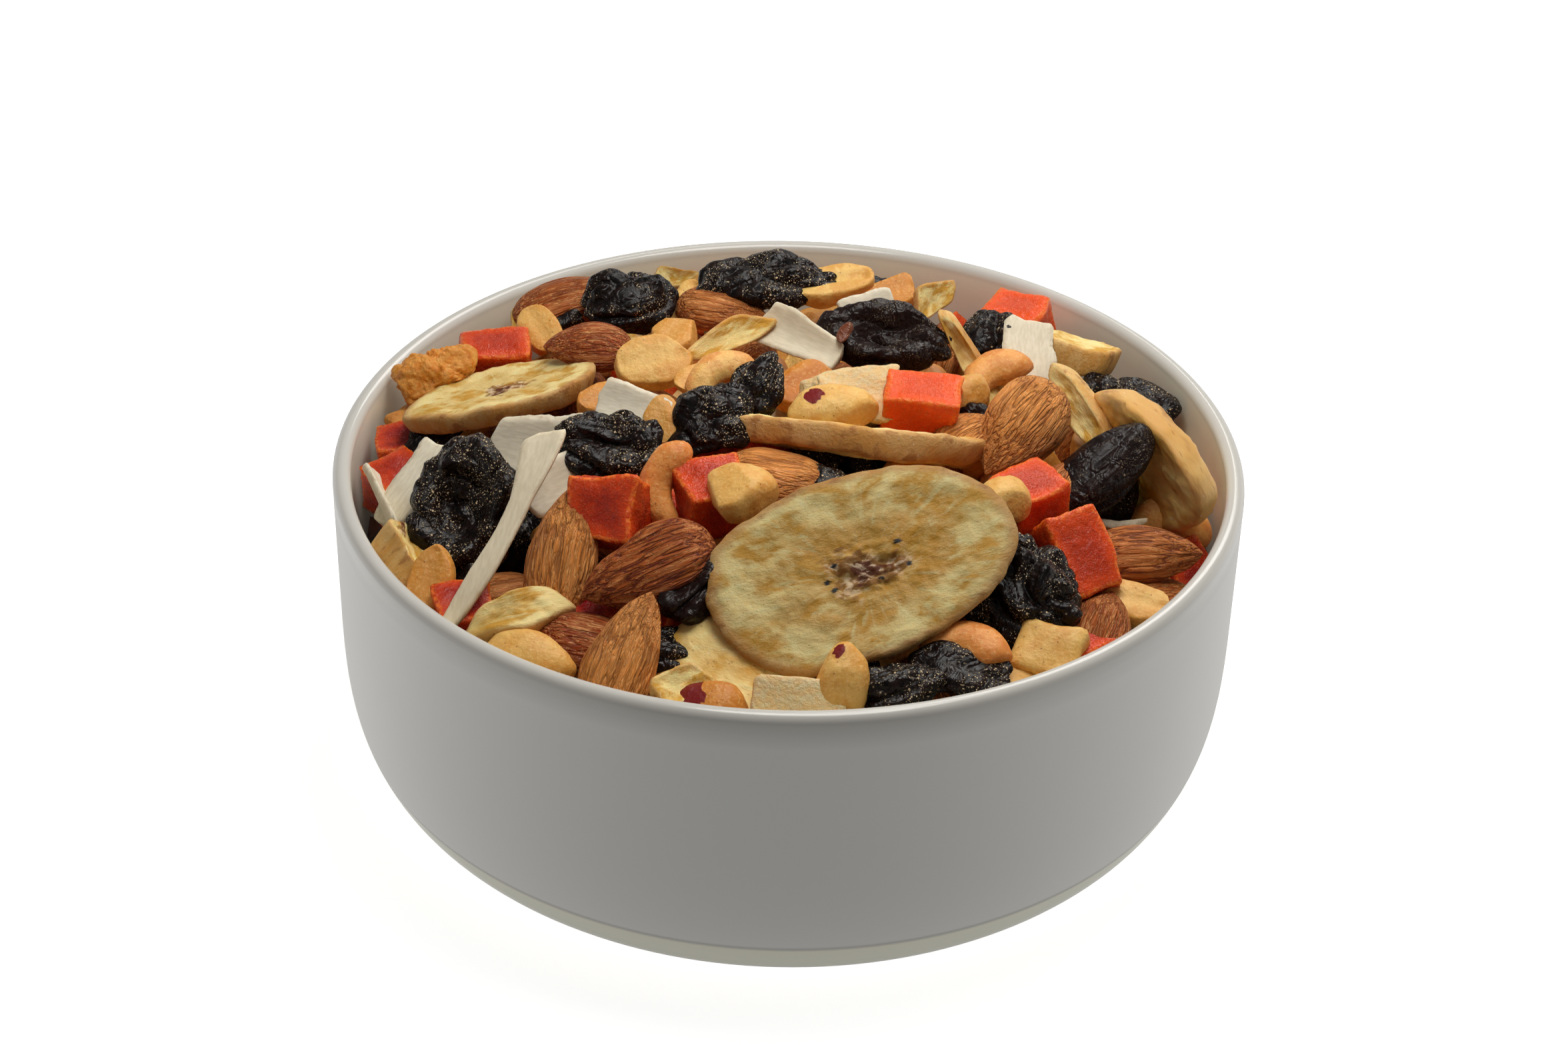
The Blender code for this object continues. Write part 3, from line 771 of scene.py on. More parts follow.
def bananaShape(length, width, thick, seed, around=64, rings=18, outline=None, dish=0.12,
                lip=0.05, ruffle=1.0, broken=0, part=(0.0, 0.0, 1.0), bend=(0.0, 0.0),
                pits=(), seeds=()):
    # A round-rimmed disc that may be broken, dished, bent, pitted and have seeds.
    angle = np.linspace(0.0, 2.0 * math.pi, around, endpoint=False)
    uneven = 1.0 + 0.05 * np.sin(2.0 * angle + seed) + 0.04 * np.sin(3.0 * angle - seed)
    if outline:
        turns, factors = zip(*outline)
        uneven = np.interp(np.degrees(angle), (*turns, turns[0] + 360.0),
                           (*factors, factors[0]))
    if broken:
        uneven = brokenOutline(angle, seed, broken)
    circle = np.stack([np.cos(angle), np.sin(angle), np.zeros(around)], -1)
    ragged = noiseAt(circle, 7.0, seed) * 0.020 + noiseAt(circle, 2.2, seed + 0.4) * 0.03
    uneven = uneven * (1.0 + ruffle * ragged)
    shoulder = 0.93
    top = np.linspace(0.02, shoulder, rings)
    turn = np.linspace(0.0, math.pi, 9)[1:-1]
    side = shoulder + (1.0 - shoulder) * np.sin(turn) ** 0.6
    radius = np.concatenate([top, side, top[::-1]])
    face = np.concatenate([np.ones(rings), np.cos(turn), -np.ones(rings)])
    rim = np.concatenate([smoothstep(0.86, 0.95, top), np.ones(len(turn)),
                          smoothstep(0.86, 0.95, top[::-1])])
    spread = radius[:, None] * uneven[None]
    slant = 0.95 + 0.05 * face
    points = np.zeros((len(radius), around, 3))
    points[:, :, 0] = 0.5 * length * spread * np.cos(angle) * slant[:, None]
    points[:, :, 1] = 0.5 * width * spread * np.sin(angle) * slant[:, None]
    hollow = (dish * (1.0 - smoothstep(0.1, 0.8, radius))
              - lip * np.exp(-((radius - 0.84) / 0.10) ** 2))
    points[:, :, 2] = (0.5 * thick * face - thick * hollow * (face > 0.9))[:, None]
    points, quads, tris = stacked(points)
    local = np.concatenate([[(0.0, 0.0, 1.0)], np.stack([
        radius[:, None] * np.cos(angle), radius[:, None] * np.sin(angle),
        np.repeat(face[:, None], around, 1)], -1).reshape(-1, 3), [(0.0, 0.0, -1.0)]])
    mask = np.concatenate([[0.0], np.repeat(rim, around), [0.0]])
    upper = local[:, 2] > 0.9
    far = np.hypot(local[:, 0], local[:, 1])
    uneven = noiseAt(points, 0.30, seed) * 0.10 + noiseAt(points, 0.9, seed) * 0.05
    points[:, 2] += thick * uneven
    warp = noiseAt(points, 0.045, seed + 3.0) * smoothstep(0.0, 1.0, far)
    points[:, 2] += 0.35 * thick * warp
    for x, y, reach, depth in pits:
        share = np.exp(-((np.hypot(local[:, 0] - x, local[:, 1] - y)) / reach) ** 2)
        points[:, 2] -= depth * share * upper
    if pits:
        torn = (1.0 - smoothstep(0.16, 0.34, far)) * upper
        points[:, 2] += torn * (0.9 * noiseAt(local, 9.0, seed) + 0.6 * noiseAt(local, 17.0, seed))
    for x, y in seeds:
        near = np.hypot(local[:, 0] - x, local[:, 1] - y) * 0.5 * length
        mask = np.where((near < bananaFlesh["seedRadius"]) & upper, -1.0, mask)
    points[:, 2] -= (bend[0] * (2.0 * points[:, 0] / length) ** 2
                     + bend[1] * (2.0 * points[:, 1] / width) ** 2)
    local[:, :2] = local[:, :2] * part[2] + np.array(part[:2])
    return shape(points, quads, tris, mask, local)


# An outline gives the reach at turns in degrees, a pit its place on the unit disc, width and
# depth in mm, and a seed its place on the disc.
largeChip = [(0, 1.0), (28, 1.07), (54, 1.13), (75, 1.05), (90, 1.02), (125, 1.02), (150, 1.07),
             (170, 1.03), (190, 1.0), (215, 1.02), (238, 1.05), (255, 0.93), (270, 0.88),
             (305, 0.82), (332, 0.90)]
largeChipPits = [(0.15, 0.08, 0.05, 1.4), (-0.12, 0.02, 0.08, 0.5), (0.22, -0.03, 0.05, 0.4),
                 (0.02, -0.02, 0.10, 0.5)]
largeChipSeeds = [(-0.168, 0.125), (-0.24, -0.01), (-0.21, -0.11), (0.095, -0.118),
                  (0.22, 0.208), (0.278, -0.006)]
leftChip = [(0, 1.0), (50, 0.98), (90, 0.94), (135, 0.92), (165, 1.0), (180, 1.08), (200, 1.0),
            (240, 0.92), (270, 0.95), (315, 1.0)]
bananaChips = {
    "shape": bananaShape, "thick": 4.0, "material": bananaMaterial, "slot": "banana_chip",
    "rows": [
        (12, -44, 2.5, 12, 9, 28, 49, 33.5), (8.3, -1, -5.5, -6, -3, -34, 50, 25),
        (-48.5, 12, 0, 27, 5, -14, 34, 24), (-40.5, -48, 1, 28, 5, 20, 20, 9),
        (-9, -57, -4.2, -24, -6, 24, 26, 18), (60, -1, 1.5, -59, -12, 96, 32, 22),
        (49, 7.5, 3, -57, -29, 62, 18, 6), (49, 32, 2.5, -20, -8, -20, 19, 12),
        (-10.5, 22.5, 2.5, 30, 12, 55, 19, 6), (24.5, 44, 3.5, 45, 35, 50, 12, 7),
        (29.5, 25, 2.5, -20, -55, 70, 17, 5), (-22, 58, 1, 0, 0, 20, 11, 7),
        (-47, 44, 1, 50, 20, 10, 12, 9), (-15, -62.5, -1, 25, 5, 30, 12, 7),
        (-61, -29, 0, -60, -15, -40, 15, 9)],
    "styles": {0: {"around": 160, "rings": 56, "outline": largeChip, "dish": 0.16,
                   "lip": 0.07, "pits": largeChipPits, "seeds": largeChipSeeds},
               1: {"around": 96, "rings": 24, "thick": 4.4},
               2: {"around": 96, "rings": 30, "outline": leftChip, "dish": 0.10, "lip": 0.03,
                   "ruffle": 0.7, "thick": 3.6},
               3: {"broken": 5, "part": (0.62, -0.2, 0.3), "thick": 4.6, "bend": (3.5, 1.0)},
               4: {"around": 96, "rings": 24, "part": (0.55, 0.1, 0.35), "bend": (3.0, 0.0),
                   "thick": 3.4},
               5: {"around": 96, "rings": 26, "dish": 0.05, "thick": 5.0, "part": (0.36, 0.0, 0.15)},
               6: {"part": (0.5, 0.4, 0.4), "thick": 4.5},
               7: {"broken": 5, "part": (0.5, 0.2, 0.4), "thick": 5.0},
               8: {"broken": 3, "part": (0.4, 0.5, 0.4), "thick": 3.2},
               9: {"broken": 3, "part": (0.6, 0.2, 0.4), "thick": 3.2},
               10: {"broken": 4, "part": (0.3, 0.6, 0.3), "thick": 5.0},
               11: {"broken": 4, "part": (0.5, 0.5, 0.4)},
               12: {"broken": 3, "part": (0.6, 0.1, 0.4)},
               13: {"broken": 4, "part": (0.2, 0.6, 0.4)},
               14: {"broken": 4, "part": (0.5, 0.1, 0.5), "thick": 5.0}},
    # Chip 0's low tone is painted shade under the bright overhead lamp; chips 7 to 10 are set pale as
    # painted light.
    "tones": {0: 0.02, 1: 0.85, 2: 0.5, 3: 0.5, 4: 0.8, 5: 0.85, 6: 0.9, 7: 0.9, 8: 1.0, 9: 0.9,
              10: 0.8},
    "variants": [(26, 20), (16, 11)], "coarse": {"around": 40, "rings": 9},
}

# Papaya cubes

papayaSugar = {
    "deep": (128, 24, 10), "bright": (222, 80, 20), "cloud": (208, 72, 22),
    "frost": (214, 130, 82), "paintedEdgeGlow": (220, 116, 50),
    "fixed": {"Specular_IOR_Level": 0.30, "Subsurface_Weight": 0.30,
              "Subsurface_Scale": 1.6 * mm, "Subsurface_Radius": (1.0, 0.28, 0.10)},
    "rough": (0.26, 0.60), "relief": (0.6, 0.7),
}


def papayaMaterial():
    # "mask" is high along the cube's edges, which are painted brighter orange as light shining
    # through them.
    paint = Paint("papayaSugar", papayaSugar)
    local, tone, edge = (paint.carried(name) for name in ("local", "tone", "mask"))
    # Painted light: the colour runs brighter towards the edges.
    warm = paint.plus(paint.times(tone, 0.75),
                      paint.times(paint.remap(edge, 0.0, 0.8), 0.30), clamp=True)
    paint.start(warm, "deep", "bright")
    cloud = paint.patches(local, 0.38, 0.38, 0.66, 3.0)
    paint.cover(paint.times(cloud, 0.30), "cloud")
    sugar = paint.patches(local, 3.6, 0.54, 0.66, 3.0, 0.6)
    frost = paint.times(paint.patches(local, 0.30, 0.40, 0.62, to=(0.04, 0.30)),
                        paint.remap(tone, 0.5, 1.0, 1.0, 2.0))
    paint.cover(paint.times(sugar, frost), "frost")
    paintedEdgeGlow = paint.times(paint.remap(edge, 0.80, 1.0),
                         paint.patches(local, 1.4, 0.38, 0.60, 3.0, 0.6))
    paint.cover(paint.times(paintedEdgeGlow, 0.85), "paintedEdgeGlow")
    height = paint.plus(paint.grain(local, 0.9, 4.0, 0.6), paint.times(sugar, 0.25))
    return paint.finish(paint.remap(sugar, 0.0, 1.0, *paint.look["rough"]), height)


def blockShape(length, width, thick, seed, detail=11, soft=0.10, rough=0.10, lumps=0.03,
               bare=False):
    # A cube with soft edges, warped a little.
    cube, faces = primitive("cube", detail)
    # The mask runs high along the edges, which the papaya finish paints brighter orange as painted
    # light.
    ordered = np.sort(np.abs(cube), axis=1)
    edge = smoothstep(0.30, 1.0, ordered[:, 1])
    inner = np.clip(cube, -(1.0 - soft), 1.0 - soft)
    away = cube - inner
    far = np.linalg.norm(away, axis=1)
    away /= np.maximum(far, 1e-9)[:, None]
    points = inner + away * soft * (far > 0)[:, None]
    corners = 0.5 * points
    warp = np.column_stack([noiseAt(corners, 1.5, seed * 0.7 + k) for k in (0.2, 5.1, 9.3)])
    points = points + 2.0 * rough * warp
    fine = noiseAt(points, 3.1, seed + 0.6) + 0.6 * noiseAt(points, 7.0, seed + 0.2)
    points *= (1.0 + lumps * fine)[:, None]
    points *= 0.5 * np.array((length, width, thick))
    return shape(points, faces, emptyFaces[3], None if bare else edge)


papayaCubes = {
    "shape": blockShape, "thickShare": 0.92, "material": papayaMaterial, "slot": "papaya",
    "rows": [
        (-27.5, -29, 1.5, -15, 5, 50, 11, 10.5), (-11.5, -25, 0, 20, 5, 10, 11, 10),
        (21.5, 1, 2, -5, -2, 10, 12.5, 8.5), (38, -19, 0, 35, 5, 5, 10.5, 8.5),
        (45.5, -31, 0, -60, -40, 10, 14, 9), (-51.5, 28.5, 0, 10, 0, 5, 12, 9),
        (-64.5, -5, -3.5, 40, 5, 5, 9, 9), (-49.5, -41, -4.5, 15, 0, 10, 9, 9),
        (40.5, 47, 1, -30, 0, 5, 11, 9), (-30, -42, -8, 25, 10, 5, 10, 10),
        (45.5, -47, -4, 40, 0, 0, 10, 9), (37, 33, -2.5, 20, 0, 0, 8, 8),
        (-64.5, 6, -4, 10, 0, 0, 10, 9)],
    "styles": {number: {"detail": 17} for number in range(5)},
    # Pieces 7 and 9, deep in shadow, get tone 0, the deep red, as painted shade.
    "tones": {0: 0.25, 1: 0.3, 2: 1.0, 3: 0.6, 4: 0.4, 6: 0.2, 7: 0.0, 8: 0.9, 9: 0.0, 12: 0.0},
    "variants": [(11, 10), (9, 8)], "coarse": {"detail": 7},
}

# Coconut flakes

coconutFlesh = {
    "grey": (188, 179, 160), "white": (202, 194, 176), "aged": (178, 160, 122),
    "husk": (150, 120, 84),
    "fixed": {"Specular_IOR_Level": 0.4, "Subsurface_Weight": 0.35,
              "Subsurface_Scale": 1.0 * mm, "Subsurface_Radius": (1.0, 0.8, 0.6)},
    "rough": 0.55, "relief": (0.14, 0.25),
}


def coconutMaterial():
    # "mask" is high along the flake's torn sides.
    paint = Paint("coconutFlesh", coconutFlesh)
    local = paint.carried("local")
    fibre = paint.grain(paint.vector("MULTIPLY", local, (0.25, 1.0, 1.0)), 2.2, 3.0, 0.5, 0.2)
    paint.start(paint.remap(fibre, 0.3, 0.7), "grey", "white")
    paint.cover(paint.remap(paint.carried("tone"), 0.0, 1.0, 0.35, 0.0), "aged")
    edge = paint.times(paint.carried("mask"), paint.patches(local, 1.2, 0.5, 0.7))
    paint.cover(paint.times(edge, 0.4), "husk")
    return paint.finish(paint.look["rough"], fibre)


def coconutShape(length, width, thick, seed, along=40, across=10, ragged=1.0, waist=None,
                 sweep=0.0, bow=0.10, curl=0.35):
    # A thin flake, bowed along, curled across and torn at its sides.
    u = np.linspace(-0.5, 0.5, along)
    v = np.linspace(-0.5, 0.5, across)
    ends = np.clip(1.0 - np.abs(2.0 * u) ** 14, 0.0, 1.0) ** 0.4 * 0.6 + 0.4
    widths = np.interp(u + 0.5, *zip(*waist)) if waist else 1.0 + 0.5 * math.sin(seed) * u
    line = np.stack([u * 4.0, np.zeros(along), np.zeros(along)], -1)
    left, right = [1.0 + ragged * (0.16 * noiseAt(line, 0.6, seed + side)
                                   + 0.03 * noiseAt(line, 5.0, seed + side))
                   for side in (0.0, 4.0)]
    loop = np.concatenate([v, v[::-1]])
    level = np.concatenate([np.ones(across), -np.ones(across)])
    thin = 1.0 - np.abs(2.0 * loop) ** 8
    rings = np.zeros((along, 2 * across, 3))
    scale = np.where(loop[None] < 0.0, left[:, None], right[:, None]) * (ends * widths)[:, None]
    offset = loop[None] * scale
    rings[:, :, 0] = length * u[:, None] * (1.0 + 0.10 * math.cos(2.0 * seed) * 2.0 * offset)
    rings[:, :, 1] = width * offset + sweep * length * (u[:, None] - 0.5) ** 2
    rings[:, :, 2] = (bow * length * (0.25 - u * u)[:, None] + curl * width * offset ** 2
                      + 0.5 * thick * level * (0.45 + 0.55 * thin))
    points, quads, tris = stacked(rings)
    tear = smoothstep(0.3, 0.5, np.abs(points[:, 0]) / length)
    across = points * np.array((0.0, 1.0, 0.0)) + np.array((0.0, 0.0, seed))
    points[:, 0] += 0.9 * ragged * tear * noiseAt(across, 0.5, seed)
    points[:, 2] += 0.7 * noiseAt(points, 0.10, seed) + 0.05 * noiseAt(points, 0.8, seed)
    mask = np.concatenate([[1.0], np.tile(np.abs(2.0 * loop) ** 6, along), [1.0]])
    return shape(points, quads, tris, mask)


strip = [(0.0, 0.35), (0.15, 0.6), (0.30, 0.72), (0.5, 0.66), (0.66, 0.70), (0.82, 1.05),
         (1.0, 1.45)]  # place along it, width there
coconutFlakes = {
    "shape": coconutShape, "thick": 1.4, "material": coconutMaterial, "slot": "coconut",
    "rows": [
        (-41, -9.5, 0, -10, -5, 50, 15, 13), (-43.2, -36.5, 4.5, 77, 33, 0, 36, 5),
        (-37.5, -17, -1, 40, 0, 50, 12, 9), (-25.5, -1.5, 1.5, -20, -5, 40, 13, 7),
        (1.5, 22.5, 1.5, -35, -5, 40, 17, 7), (41, 28, 1.5, 85, 30, 0, 14, 9),
        (13, 38, 2, 15, 0, 40, 10, 6), (-66, -13, 0, -65, -15, -50, 14, 6),
        (-60.5, -11, 0, 55, 30, 0, 16, 7)],
    "styles": {1: {"along": 60, "waist": strip, "ragged": 0.35, "sweep": 0.22},
               4: {"curl": 0.8}, 5: {"ragged": 1.3}, 7: {"curl": 0.8}},
    "tones": {1: 0.0}, "variants": [(14, 9), (11, 6)], "coarse": {},
}

# Peanuts and cashews

nutFlesh = {
    "bright": (224, 192, 134),
    "fixed": {"Specular_IOR_Level": 0.30, "Subsurface_Weight": 0.12,
              "Subsurface_Scale": 1.0 * mm},
    "rough": (0.40, 0.52), "relief": (0.55, 0.6),
}
peanutFlesh = {"dark": (168, 100, 38), "pale": (206, 168, 98), "roasted": (184, 122, 50),
               "skin": (104, 32, 20), **nutFlesh}
cashewFlesh = {"dark": (200, 122, 60), "pale": (210, 164, 96), "roasted": (180, 100, 46),
               "skin": (110, 60, 30), **nutFlesh}


def nutMaterial(name, look):
    # Roasted nuts: smooth tan flesh, darker patches, and red skin where "mask" is high.
    paint = Paint(name, look)
    local = paint.carried("local")
    paint.start(paint.carried("tone"), "dark", "pale")
    patch = paint.patches(local, 0.20, 0.42, 0.62, 4.0, 0.6)
    paint.cover(paint.times(patch, 0.6), "roasted")
    fine = paint.grain(local, 2.0, 4.0, 0.6)
    paint.cover(paint.remap(fine, 0.50, 0.70, 0.0, 0.30), "bright")
    paint.cover(paint.remap(fine, 0.44, 0.28, 0.0, 0.35), "roasted")
    paint.cover(paint.times(paint.spots(local, 0.7, 0.12), 0.6), "skin")
    paint.cover(paint.remap(paint.carried("mask"), 0.4, 0.6), "skin")
    height = paint.plus(paint.grain(local, 0.6, 3.0), paint.times(fine, 0.35))
    return paint.finish(paint.remap(fine, 0.3, 0.7, *paint.look["rough"]), height)


def peanutMaterial():
    return nutMaterial("peanutFlesh", peanutFlesh)


def cashewMaterial():
    return nutMaterial("cashewFlesh", cashewFlesh)


def peanutShape(length, width, thick, seed, along=30, around=32, back=False, skin=0.0,
                groove=0.10, germ=0.0, square=0.85, cuts=3, spot=None):
    # Half a kernel with the split side up, or with its round back up.
    u = -np.cos(np.linspace(0.035, 0.965, along) * math.pi)
    angle = np.linspace(0.0, 2.0 * math.pi, around, endpoint=False)
    swell = (1.0 - np.abs(u) ** 2.4) ** 0.5 * (1.0 + 0.16 * np.sin(1.3 * seed) * u)
    rings = np.zeros((along, around, 3))
    rings[:, :, 0] = (0.5 * length * u)[:, None]
    side = np.abs(np.cos(angle)) ** square * np.sign(np.cos(angle))
    rings[:, :, 1] = 0.5 * width * swell[:, None] * side
    height = swell[:, None] * np.abs(np.sin(angle)) ** square * np.sign(np.sin(angle))
    split = 0.30  # where the kernel's two halves parted
    flat = split + 0.10 * (height - split)
    furrow = np.exp(-(np.cos(angle) * swell[:, None] / 0.16) ** 2)
    flat = flat - groove * furrow * (np.abs(u)[:, None] < 0.85)
    height = np.where(height > split, flat, height)
    rings[:, :, 2] = 0.62 * thick * height
    points, quads, tris = stacked(rings)
    if germ:
        tip = smoothstep(0.72, 1.0, points[:, 0] / (0.5 * length))
        points[:, 0] += tip * germ
        points[:, 1] *= 1.0 - 0.3 * tip
    if back:
        points[:, 2] *= -1.0
    lumps = 1.0 + 0.14 * noiseAt(points, 0.16, seed) + 0.04 * noiseAt(points, 0.5, seed)
    points *= lumps[:, None]
    points = flatten(points, seed, cuts, 0.66, 0.92)
    points *= (1.0 + 0.012 * noiseAt(points, 1.2, seed))[:, None]
    blur = 0.25 * noiseAt(points, 0.5, seed)
    mask = None
    if skin:
        mask = smoothstep(1.0 - skin - 0.05, 1.0 - skin + 0.05,
                          points[:, 0] / (0.5 * length) + blur)
    if spot:
        away = np.linalg.norm(points - np.array(spot[:3]), axis=1)
        mask = smoothstep(spot[3], 0.75 * spot[3], away + 2.0 * blur)
    return shape(points, quads, tris, mask)


def cashewShape(length, width, thick, seed, along=36, around=24):
    # A kernel bent along an arc, thicker at one end.
    u = -np.cos(np.linspace(0.03, 0.97, along) * math.pi)
    angle = np.linspace(0.0, 2.0 * math.pi, around, endpoint=False)
    swell = (1.0 - u ** 4) ** 0.5 * (1.0 + 0.20 * u)
    bend = 0.42 * length
    side = swell[:, None] * np.cos(angle)
    turn = (1.45 * u)[:, None]
    radius = bend + 0.5 * width * side
    rings = np.stack([radius * np.sin(turn), radius * np.cos(turn) - 0.75 * bend,
                      0.5 * thick * swell[:, None] * np.sin(angle)], -1)
    points, quads, tris = stacked(rings)
    lumps = 1.0 + 0.07 * noiseAt(points, 0.25, seed) + 0.02 * noiseAt(points, 0.8, seed)
    points *= lumps[:, None]
    points = flatten(points, seed, 2, 0.75, 0.92)
    return shape(points, quads, tris)


peanuts = {
    "shape": peanutShape, "thickShare": 0.80, "material": peanutMaterial, "slot": "peanut",
    "rows": [
        (-23.5, 15, 1.5, 15, 5, 35, 13, 9.5), (6.5, 46.5, 4, 10, 5, 10, 16, 8.5),
        (7, -2.5, 1, 5, 0, 10, 15, 8.5), (-7.5, -30, 4, 25, 8, 0, 12, 9),
        (-39, -55, -0.5, -15, -5, 20, 13, 8), (8.5, -63, 0, 90, 60, 0, 12, 7.5),
        (42.5, -54.5, 0, -20, 0, 30, 10, 9), (34.5, -56, -2.5, 10, 0, 10, 12, 8),
        (-11, -65, -2, 170, 0, -20, 12, 8), (-15, 9, 0, 30, 0, 20, 10, 7),
        (28, 7, 1, 20, 0, 10, 10, 8), (-19, 46, 0, 70, 20, 0, 11, 8),
        (-20, 28, 1, 60, 10, 0, 10, 8), (-21, -4, 0.5, 80, 40, 0, 9, 6),
        (-31, 4, 0, 30, 0, 20, 10, 8), (17, 52, 1.5, 20, 5, 20, 12, 8),
        (-44.5, 37, 1.5, -60, -20, 20, 11, 7), (54.5, -37, -1, -20, 0, 20, 14, 7),
        (34, -24, 2, 0, 0, 0, 8, 8), (2, 12, -2.5, 30, 5, 20, 12, 9),
        (-12, 59, 1, 10, 0, 0, 13, 8), (-55, -35.5, -0.5, 80, 40, 0, 12, 7),
        (53, 8, -3, 30, 0, 0, 12, 9)],
    "styles": {0: {"groove": 0.06}, 1: {"groove": 0.34, "cuts": 1},
               2: {"back": True, "spot": (-3.5, 0.0, 4.5, 2.2)},
               3: {"back": True, "square": 0.6, "cuts": 4}, 4: {"back": True, "germ": 1.0, "cuts": 1},
               5: {"back": True, "germ": 1.2, "spot": (6.2, 0.6, 2.0, 1.2)},
               6: {"shape": blockShape, "soft": 0.35, "rough": 0.12, "bare": True},
               8: {"back": True, "skin": 0.9}, 10: {"back": True, "square": 0.6},
               15: {"cuts": 5}, 18: {"back": True, "square": 0.6}},
    "tones": {0: 0.9, 1: 1.0, 2: 0.9, 3: 0.7, 5: 0.8, 6: 0.85, 8: 0.1, 15: 0.2, 19: 0.0},
    "variants": [(13, 8.5), (12, 8)], "coarse": {"along": 22, "around": 22},
}
cashews = {
    "shape": cashewShape, "thickShare": 0.80, "material": cashewMaterial, "slot": "peanut",
    "rows": [
        (-19.5, -24, 2, 75, 50, 0, 13.5, 5.6), (35, 20, 0, 25, 10, 20, 11, 6.5),
        (27, -53.5, 0, -20, 0, 20, 12, 6.5), (-12.5, 7.5, 1.5, 40, 15, 30, 13, 5.5)],
    "styles": {}, "tones": {3: 1.0}, "variants": [(13, 6.5)], "coarse": {},
}

# Other dried fruit

fruitFlesh = {
    "golden": (178, 108, 32), "pale": (196, 178, 138), "lump": (206, 160, 88),
    "burnt": (140, 92, 52),
    "fixed": {"Specular_IOR_Level": 0.4, "Subsurface_Weight": 0.3,
              "Subsurface_Scale": 1.2 * mm},
    "rough": 0.6, "relief": (0.6, 0.6),
}


def chunkMaterial():
    paint = Paint("fruitFlesh", fruitFlesh)
    local = paint.carried("local")
    paint.start(paint.carried("tone"), "golden", "pale")
    lumps = paint.patches(local, 0.9, 0.35, 0.65, 3.0)
    paint.cover(paint.times(lumps, 0.4), "lump")
    burnt = paint.patches(local, 0.6, 0.58, 0.72, 4.0)
    paint.cover(paint.times(burnt, 0.35), "burnt")
    height = paint.plus(paint.grain(local, 1.6, 3.0), paint.times(paint.grain(local, 5.0), 0.3))
    return paint.finish(paint.look["rough"], height)


fruitChunks = {
    "shape": blockShape, "thickShare": 0.62, "material": chunkMaterial, "slot": "nuts_and_fruit",
    "rows": [
        (-63, 20.5, 5, 35, 15, 20, 17.5, 10.5), (-65, 14, -1, 30, 0, 10, 9, 8),
        (11, 4, 0, 10, 5, 30, 14, 10), (2.5, -65, -2, -5, 0, 45, 13, 9)],
    "styles": {0: {"shape": raisinShape, "detail": 6, "folds": 0.6, "lump": 0.28,
                   "stretch": 1.0, "fine": 4.0, "thick": 8.5},
               1: {"shape": raisinShape, "folds": 0.4, "lump": 0.3},
               2: {"detail": 19, "soft": 0.25, "rough": 0.22, "lumps": 0.07},
               3: {"detail": 17, "soft": 0.15, "rough": 0.10, "lumps": 0.03}},
    "tones": {0: 0.0, 1: 0.1, 2: 0.9, 3: 1.0}, "variants": [], "coarse": {},
}

kinds = {"bananaChips": bananaChips, "almonds": almonds, "raisins": raisins,
         "papayaCubes": papayaCubes, "coconutFlakes": coconutFlakes, "peanuts": peanuts,
         "cashews": cashews, "fruitChunks": fruitChunks}

# Filler: pieces of the same kinds that show deeper, between the placed ones

filler = {
    "seed": 21, "tries": 9000, "spacing": 7.7, "reach": 69.0, "depth": (7.4, 11.5), "tilt": 0.6,
    "gaps": [(0.0, -16.0, 9.0), (-15.0, -50.0, 8.0), (40.0, -43.0, 7.0)],
    "sizes": (0.86, 1.14), "shapeSeed": 40, "toneSeed": 5, "tones": (0.2, 0.9),
    "share": {"almonds": 0.24, "raisins": 0.18, "peanuts": 0.26, "bananaChips": 0.08,
              "papayaCubes": 0.12, "coconutFlakes": 0.06, "cashews": 0.06},
}


def scatterRows():
    # Seeded throws that keep their distance; each gives a place, a turn, a size and a tone.
    draw = np.random.default_rng(filler["seed"])
    names = list(filler["share"])
    weights = np.array(list(filler["share"].values()))
    placed, rows = [], {name: [] for name in names}
    for _ in range(filler["tries"]):
        x, y = draw.uniform(-filler["reach"], filler["reach"], 2)
        name = names[draw.choice(len(names), p=weights / weights.sum())]
        pick = int(draw.integers(len(kinds[name]["variants"])))
        size = draw.uniform(*filler["sizes"], 3)
        reach = 0.5 * kinds[name]["variants"][pick][0] * size[0]
        if math.hypot(x, y) + reach > filler["reach"] + 1.0:
            continue
        if any(math.hypot(x - a, y - b) < filler["spacing"] for a, b in placed):
            continue
        if any(math.hypot(x - a, y - b) < wide for a, b, wide in filler["gaps"]):
            continue
        placed.append((x, y))
        turn = (draw.normal(0.0, filler["tilt"]), draw.normal(0.0, filler["tilt"]),
                draw.uniform(0.0, 2.0 * math.pi))
        level = heapLevel(x, y) - draw.uniform(*filler["depth"])
        rows[name].append(((x, y, level), turn, size, pick, draw.uniform()))
    return rows


